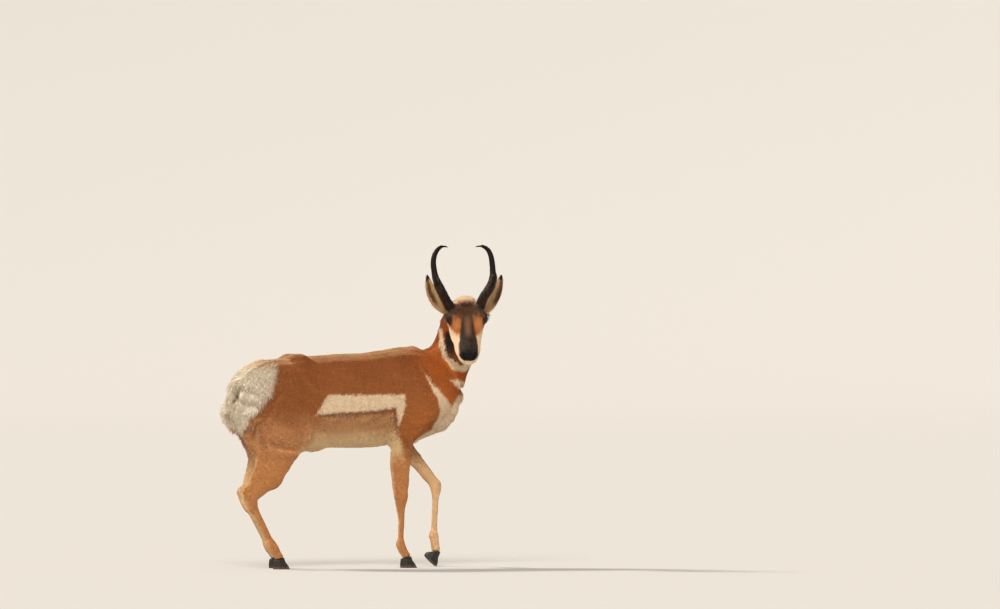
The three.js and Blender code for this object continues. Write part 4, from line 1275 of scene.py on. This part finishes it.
def grow(name, chance, count, seed, length, width, lift, rings=1, wander=0.25, tips=0.16, colours=None):
    """Grows one kind of hair. Sizes are in millimetres, and length may be a function of the roots."""
    roots, normals, uv, random = hide.draw(chance, count, seed)
    lies = lie_of(roots, normals)
    lies = unit(lies + np.cross(normals, lies) * random.normal(0, wander, (count, 1)))
    spread = random.uniform(0.75, 1.25, (3, count))
    if callable(length):
        length = length(roots)
    sizes = (length * MM * spread[0], width * MM * spread[1], lift * spread[2])
    tint = (colours or coat_colours)(roots, normals) * random.normal(1, 0.06, (count, 1))
    piece = make_tufts(name, roots, normals, lies, uv, np.clip(tint, 0, 1), sizes, rings, tips, hair_finish)
    print(name, triangles_in(piece), "triangles")


print("triangles in a blade:", len(blade_faces(1)), "with one ring,", len(blade_faces(2)), "with two")

# %% [markdown]
# The body's coat is short and lies close; it is longest along the back and under the belly. It is grown
# in four pieces, so that none is too heavy.

# %% Coat of the body
middles = hide.middles
leg_share = leg_part(middles)
body_chance = (1 - haired_head) * (1 - 0.7 * long_hair(middles)) * (1 - leg_share) * ~ear_triangle


def body_length(roots):
    p = on_trunk(roots)
    back = rise(p[:, 2], 840, 900)
    under = fall(p[:, 2], 540, 600)
    return (15 + 7 * back + 6 * under) * (1 - 0.4 * leg_part(roots))


for part in range(4):
    grow(f"coat_body_{part + 1}", body_chance, 27000, 100 + part, length=body_length, width=3.2, lift=0.12)

# %% [markdown]
# Down the legs the coat is shorter and finer still, so that tendons and joints show through it.

# %% Coat of the legs
leg_chance = leg_share * (1 - haired_head) * ~ear_triangle
for part in range(2):
    grow(f"coat_legs_{part + 1}", leg_chance, 20000, 200 + part, length=9.0, width=2.1, lift=0.10)

# %% [markdown]
# Hair on the face is the shortest: a few millimetres, so that lids, nostrils and lips stay clear. The
# bare nose pad and the opening of each eye have none.

# %% Coat of the face


def face_chance(middles):
    h = on_head(middles)
    across, up = lid_place(h)
    at_eye = (np.hypot(across, up) < 1.28) & (np.abs(h[:, 1]) > 60)
    bare = rise(h[:, 0], 276, 288) * rise(h[:, 2], -40, -33)
    mouth = bump_at(h[:, 2] - mouth_height(h[:, 0]), 0, 3) * rise(h[:, 0], 220, 236)
    return (~at_eye) * (1 - bare) * (1 - 0.9 * mouth)


face_share = haired_head * face_chance(middles) * ~ear_triangle
for part in range(2):
    grow(f"coat_face_{part + 1}", face_share, 20000, 300 + part, length=6.5, width=1.4, lift=0.10)

# %% [markdown]
# The long white hair of the rump flares out and down, the breast has a ragged bib, the nape a short mane
# that stands up and the crown a tuft between the horns. These blades have more rings, so that they bend.

# %% Long hair
# Name, chance, count, seed, length, width, lift and how far the hairs stray from the lie.
LONG_KINDS = (
    ("hair_rump", rump_hair(middles) * (1 - leg_share), 12500, 401, 42, 3.6, 0.17, 0.22),
    ("hair_breast", breast_hair(middles), 5200, 402, 28, 3.2, 0.18, 0.3),
    ("hair_nape", nape_hair(middles) * (1 - haired_head), 3200, 403, 22, 3.4, 0.28, 0.2),
    ("hair_crown", crown_hair(middles), 2400, 404, 17, 2.0, 0.6, 0.8),
)
for name, chance, count, seed, length, width, lift, wander in LONG_KINDS:
    grow(name, chance, count, seed, length, width, lift, rings=2, wander=wander)
grow("hair_ears", ear_triangle, 12000, 405, length=5, width=1.4, lift=0.08, colours=ear_colours)

# %% [markdown]
# An eye is a glossy dark ball, set so that the lids lie on it. Its pupil is a level bar, as in all
# such grazing animals, in an iris of very dark brown, so the painted colour is judged by the angle
# from the middle of the view.

# %% Eyes
EYE_BROWN = tone(44, 24, 12)
EYE_RIM = tone(22, 13, 9)
PUPIL = tone(4, 5, 8)


def eye_finish():
    finish, shader = new_finish("wet_eye", 0.1, specular=0.2)
    shader.inputs["Coat Weight"].default_value = 0.15
    shader.inputs["Coat Roughness"].default_value = 0.02
    paint_node = add_node(finish, "ShaderNodeAttribute", attribute_name="coat")
    finish.node_tree.links.new(paint_node.outputs["Color"], shader.inputs["Base Color"])
    return finish


wet_eye = eye_finish()
for side_name, side in SIDES.items():
    ball = bmesh.new()
    bmesh.ops.create_uvsphere(ball, u_segments=48, v_segments=32, radius=EYE_RADIUS * MM)
    middle = Vector(from_head([(EYE[0], EYE[1] * side, EYE[2])])[0])
    looks = (head_turned.to_3x3() @ Vector((0.25, side, 0.05))).normalized()
    bmesh.ops.rotate(ball, verts=ball.verts, matrix=looks.to_track_quat("Z", "Y").to_matrix())
    bmesh.ops.translate(ball, verts=ball.verts, vec=middle)
    eye = piece_from(ball, f"eyeball_{side_name}")
    shade_smooth(eye.data)
    away = unit(points_of(eye.data) - np.array(middle))
    facing = away @ np.array(looks)
    level = np.array(head_turned.to_3x3() @ Vector((math.cos(EYE_TILT), 0, math.sin(EYE_TILT))))
    across = (away @ level) / 0.5
    upward = np.sqrt(np.clip(1 - facing**2 - (away @ level) ** 2, 0, 1)) / 0.24
    pupil = fall(np.hypot(across, upward), 0.85, 1.05)
    store_colours(eye.data, painted(EYE_RIM, (EYE_BROWN, rise(facing, 0.66, 0.74)), (PUPIL, pupil)))
    eye.data.materials.append(wet_eye)
    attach(eye, "root")
    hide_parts(f"eye_{side_name}")
print("eyes:", EYE_RADIUS * 2, "mm across")

# %% [markdown]
# Long black lashes stand out from the upper lid and show at the sides of the face. They are blades like the
# coat's, rooted in a row along the edge of the lid.

# %% Lashes
LASHES = 34
LASH_WIDTH = 1.1 * MM
lash_roots, lash_lies, lash_normals = [], [], []
for side in SIDES.values():
    for k in range(LASHES):
        turn = math.pi * (0.06 + 0.88 * k / (LASHES - 1))
        across = -math.cos(turn) * EYE_HALF_LENGTH * 1.04
        up = math.sin(turn) * (UPPER_LID + 0.4)
        x = across * math.cos(EYE_TILT) - up * math.sin(EYE_TILT)
        z = across * math.sin(EYE_TILT) + up * math.cos(EYE_TILT)
        out = math.sqrt(max((EYE_RADIUS + 1.0) ** 2 - x * x - z * z, 1))
        lash_roots.append((EYE[0] + 1 + x, (EYE[1] + out) * side, EYE[2] - 1 + z))
        lash_lies.append((x / 30 + 0.15, side * 1.0, 0.2 + z / 40))
        lash_normals.append((0.2, -0.2 * side, 1.0))
turned = np.array(head_turned.to_3x3())
lash_roots = from_head(lash_roots)
lash_lies = unit(np.array(lash_lies) @ turned.T)
lash_normals = np.array(lash_normals) @ turned.T
lash_normals = unit(lash_normals - lash_lies * np.sum(lash_lies * lash_normals, axis=1, keepdims=True))
random = np.random.default_rng(7)
count = len(lash_roots)
lash_lengths = random.uniform(11, 17, count) * MM
lash_sizes = (lash_lengths, np.full(count, LASH_WIDTH), random.uniform(-0.1, 0.12, count))
lash_finish = painted_finish("lashes", 0.7, sheen=0.0, grain=250.0, bump=0.1, specular=0.05)
lash_uv = 0.5 + random.uniform(-0.01, 0.01, (count, 2))
lash_black = np.tile(BLACK_PATCH * 0.3, (count, 1))
make_tufts("lashes", lash_roots, lash_normals, lash_lies, lash_uv, lash_black, lash_sizes, rings=2, tips=0.0,
    finish=lash_finish)
print("lashes:", count)

# %% [markdown]
# Each horn is a black sheath of fused hair over bone: rough and grooved at its root, where hair still
# lies on it, and polished towards the hooked tip. The solid's shape is remade in fine faces, and grooves
# that run along the horn are pressed into it, deep at the root and shallow at the tip. A few lumps stand
# where the photograph shows them, each by its place in the view, its reach and its height.

# %% Horns
HORN_BLACK = tone(24, 14, 9)
HORN_BROWN = tone(70, 46, 30)
HORN_WORN = tone(92, 70, 52)
HORN_VOXEL = 1.7 * MM
HORN_LUMPS = ((371, 1206, 12, 5), (592, 1188, 13, 7), (642, 1210, 16, 6))


def fine_copy(node, name, size, rounds):
    shape = bmesh.new()
    shape.from_mesh(nodes[node].data)
    bmesh.ops.remove_doubles(shape, verts=shape.verts, dist=1e-5)
    piece = piece_from(shape, name)
    remeshed(piece, size)
    relaxed(piece, np.ones(len(piece.data.vertices)), rounds)
    shade_smooth(piece.data)
    return piece


horn_finish = painted_finish("horn_sheath", 0.5, sheen=0.0, grain=160.0, bump=0.25, specular=0.12)
for side_name, side in SIDES.items():
    horn = fine_copy(f"horn_{side_name}", f"horn_sheath_{side_name}", HORN_VOXEL, 8)
    points = points_of(horn.data)
    low, high = points[:, 2].min(), points[:, 2].max()
    height = (points[:, 2] - low) / (high - low)
    p = on_trunk(points)
    lean = np.stack([p[:, 0] - side * 70 * height, p[:, 1], p[:, 2] * 0.12], 1)
    rough = fall(height, 0.35, 0.75)
    groove = wobble(lean, 2.6, 1.0) * 0.9 + wobble(lean, 1.3, 1.0) * 0.4
    pearl = np.maximum(wobble(p, 4.2, 1.0) - 0.25, 0) * 2.4 * fall(height, 0.12, 0.42)
    flat = view_plane(points - np.array(trunk_middle))
    lumps = np.zeros(len(points))
    for u, v, reach, size in HORN_LUMPS:
        lumps += size * bump_at(np.hypot(flat[:, 0] - u, flat[:, 1] - v), 0, reach)
    points += normals_of(horn.data) * ((groove * (0.2 + 0.8 * rough) + pearl + lumps) * MM)[:, None]
    set_points(horn.data, points)
    brown = rough * rise(groove, -0.4, 0.8) * 0.7
    worn = bump_at(height, 0.42, 0.1) * rise(groove, 0.2, 0.9) * 0.6
    store_colours(horn.data, painted(HORN_BLACK, (HORN_BROWN, brown), (HORN_WORN, worn)))
    horn.data.materials.append(horn_finish)
    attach(horn, "root")
    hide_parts(f"horn_{side_name}")
    print("horn", side_name, triangles_in(horn), "triangles")

# %% [markdown]
# A hoof's wall grows in thin rings from the hairline and is dusty near the sole. The rings follow the
# height above the sole and stand out by less than half a millimetre.

# %% Hooves
HOOF_VOXEL = 1.5 * MM
HOOF_BLACK = tone(40, 35, 32)
HOOF_DUST = tone(120, 100, 82)
hoof_finish = painted_finish("hoof_wall", 0.5, sheen=0.0, grain=240.0, bump=0.35)
for leg in LEGS:
    for claw in ("outer", "inner"):
        node = f"{leg}_hoof_{claw}"
        hoof = fine_copy(node, f"wall_{leg}_{claw}", HOOF_VOXEL, 3)
        points = points_of(hoof.data)
        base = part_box(node)[0].z
        height = (points[:, 2] - base) / MM
        ring = np.sin(height * 1.25 + wobble(points / MM, 16, 0.8))
        points += normals_of(hoof.data) * (ring * 0.22 * MM * rise(height, 2, 6))[:, None]
        points[:, 2] = np.maximum(points[:, 2], base)
        set_points(hoof.data, points)
        dust = fall(height + wobble(points / MM, 7, 4), 2, 16) * 0.6 + 0.12 * (ring > 0.5)
        store_colours(hoof.data, painted(HOOF_BLACK, (HOOF_DUST, dust)))
        hoof.data.materials.append(hoof_finish)
        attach(hoof, "root")
        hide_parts(node)
print("hooves:", triangles_in(hoof), "triangles each")

# %% [markdown]
# The studio is a pale floor that curves up far away, so that no edge shows behind the animal. Two broad suns
# light it evenly: one from the front, and a stronger one from above and behind, which puts the bright rim
# along the back that the photograph has, together with the painted highlight along the spine. The pale world
# fills the shadows.

# %% Studio
FLOOR_RADIUS = 60
WALL_CURVE = 30
FLOOR_TONE = (0.64, 0.62, 0.60, 1)
WORLD_TONE = (1.0, 0.96, 0.91, 1)
WORLD_STRENGTH = 0.42
floor_shape = bmesh.new()
profile = [floor_shape.verts.new((0, 0, 0))]
for k in range(13):
    turn = math.radians(5 * k)
    run = FLOOR_RADIUS + WALL_CURVE * math.sin(turn)
    profile.append(floor_shape.verts.new((run, 0, WALL_CURVE * (1 - math.cos(turn)))))
edges = [floor_shape.edges.new(pair) for pair in zip(profile, profile[1:])]
bmesh.ops.spin(floor_shape, geom=profile + edges, axis=(0, 0, 1), cent=(0, 0, 0), steps=96, angle=2 * math.pi)
bmesh.ops.remove_doubles(floor_shape, verts=floor_shape.verts, dist=0.001)
bmesh.ops.recalc_face_normals(floor_shape, faces=floor_shape.faces)
floor = piece_from(floor_shape, "floor")
shade_smooth(floor.data)
pale_floor, shader = new_finish("pale_floor", 0.9, specular=0.0)
shader.inputs["Base Color"].default_value = FLOOR_TONE
floor.data.materials.append(pale_floor)
world = bpy.data.worlds.new("studio")
bpy.context.scene.world = world
world.use_nodes = True
backdrop = world.node_tree.nodes["Background"]
backdrop.inputs["Color"].default_value = WORLD_TONE
backdrop.inputs["Strength"].default_value = WORLD_STRENGTH
bpy.context.scene.view_settings.view_transform = "Standard"


def soft_sun(name, place, strength, spread, colour):
    """A sun that shines from a place towards the trunk's middle."""
    light = bpy.data.lights.new(name, "SUN")
    light.energy = strength
    light.angle = math.radians(spread)
    light.color = colour
    lamp = bpy.data.objects.new(name, light)
    lamp.location = trunk_middle + Vector(place)
    lamp.rotation_euler = (-Vector(place)).to_track_quat("-Z", "Y").to_euler()
    bpy.context.scene.collection.objects.link(lamp)


soft_sun("key", (-2.2, -4.2, 3.2), strength=1.75, spread=24, colour=(1.0, 0.95, 0.88))
soft_sun("back", (-2.6, 3.0, 3.8), strength=2.7, spread=10, colour=(1.0, 0.93, 0.82))
print("floor: flat for", FLOOR_RADIUS, "m")
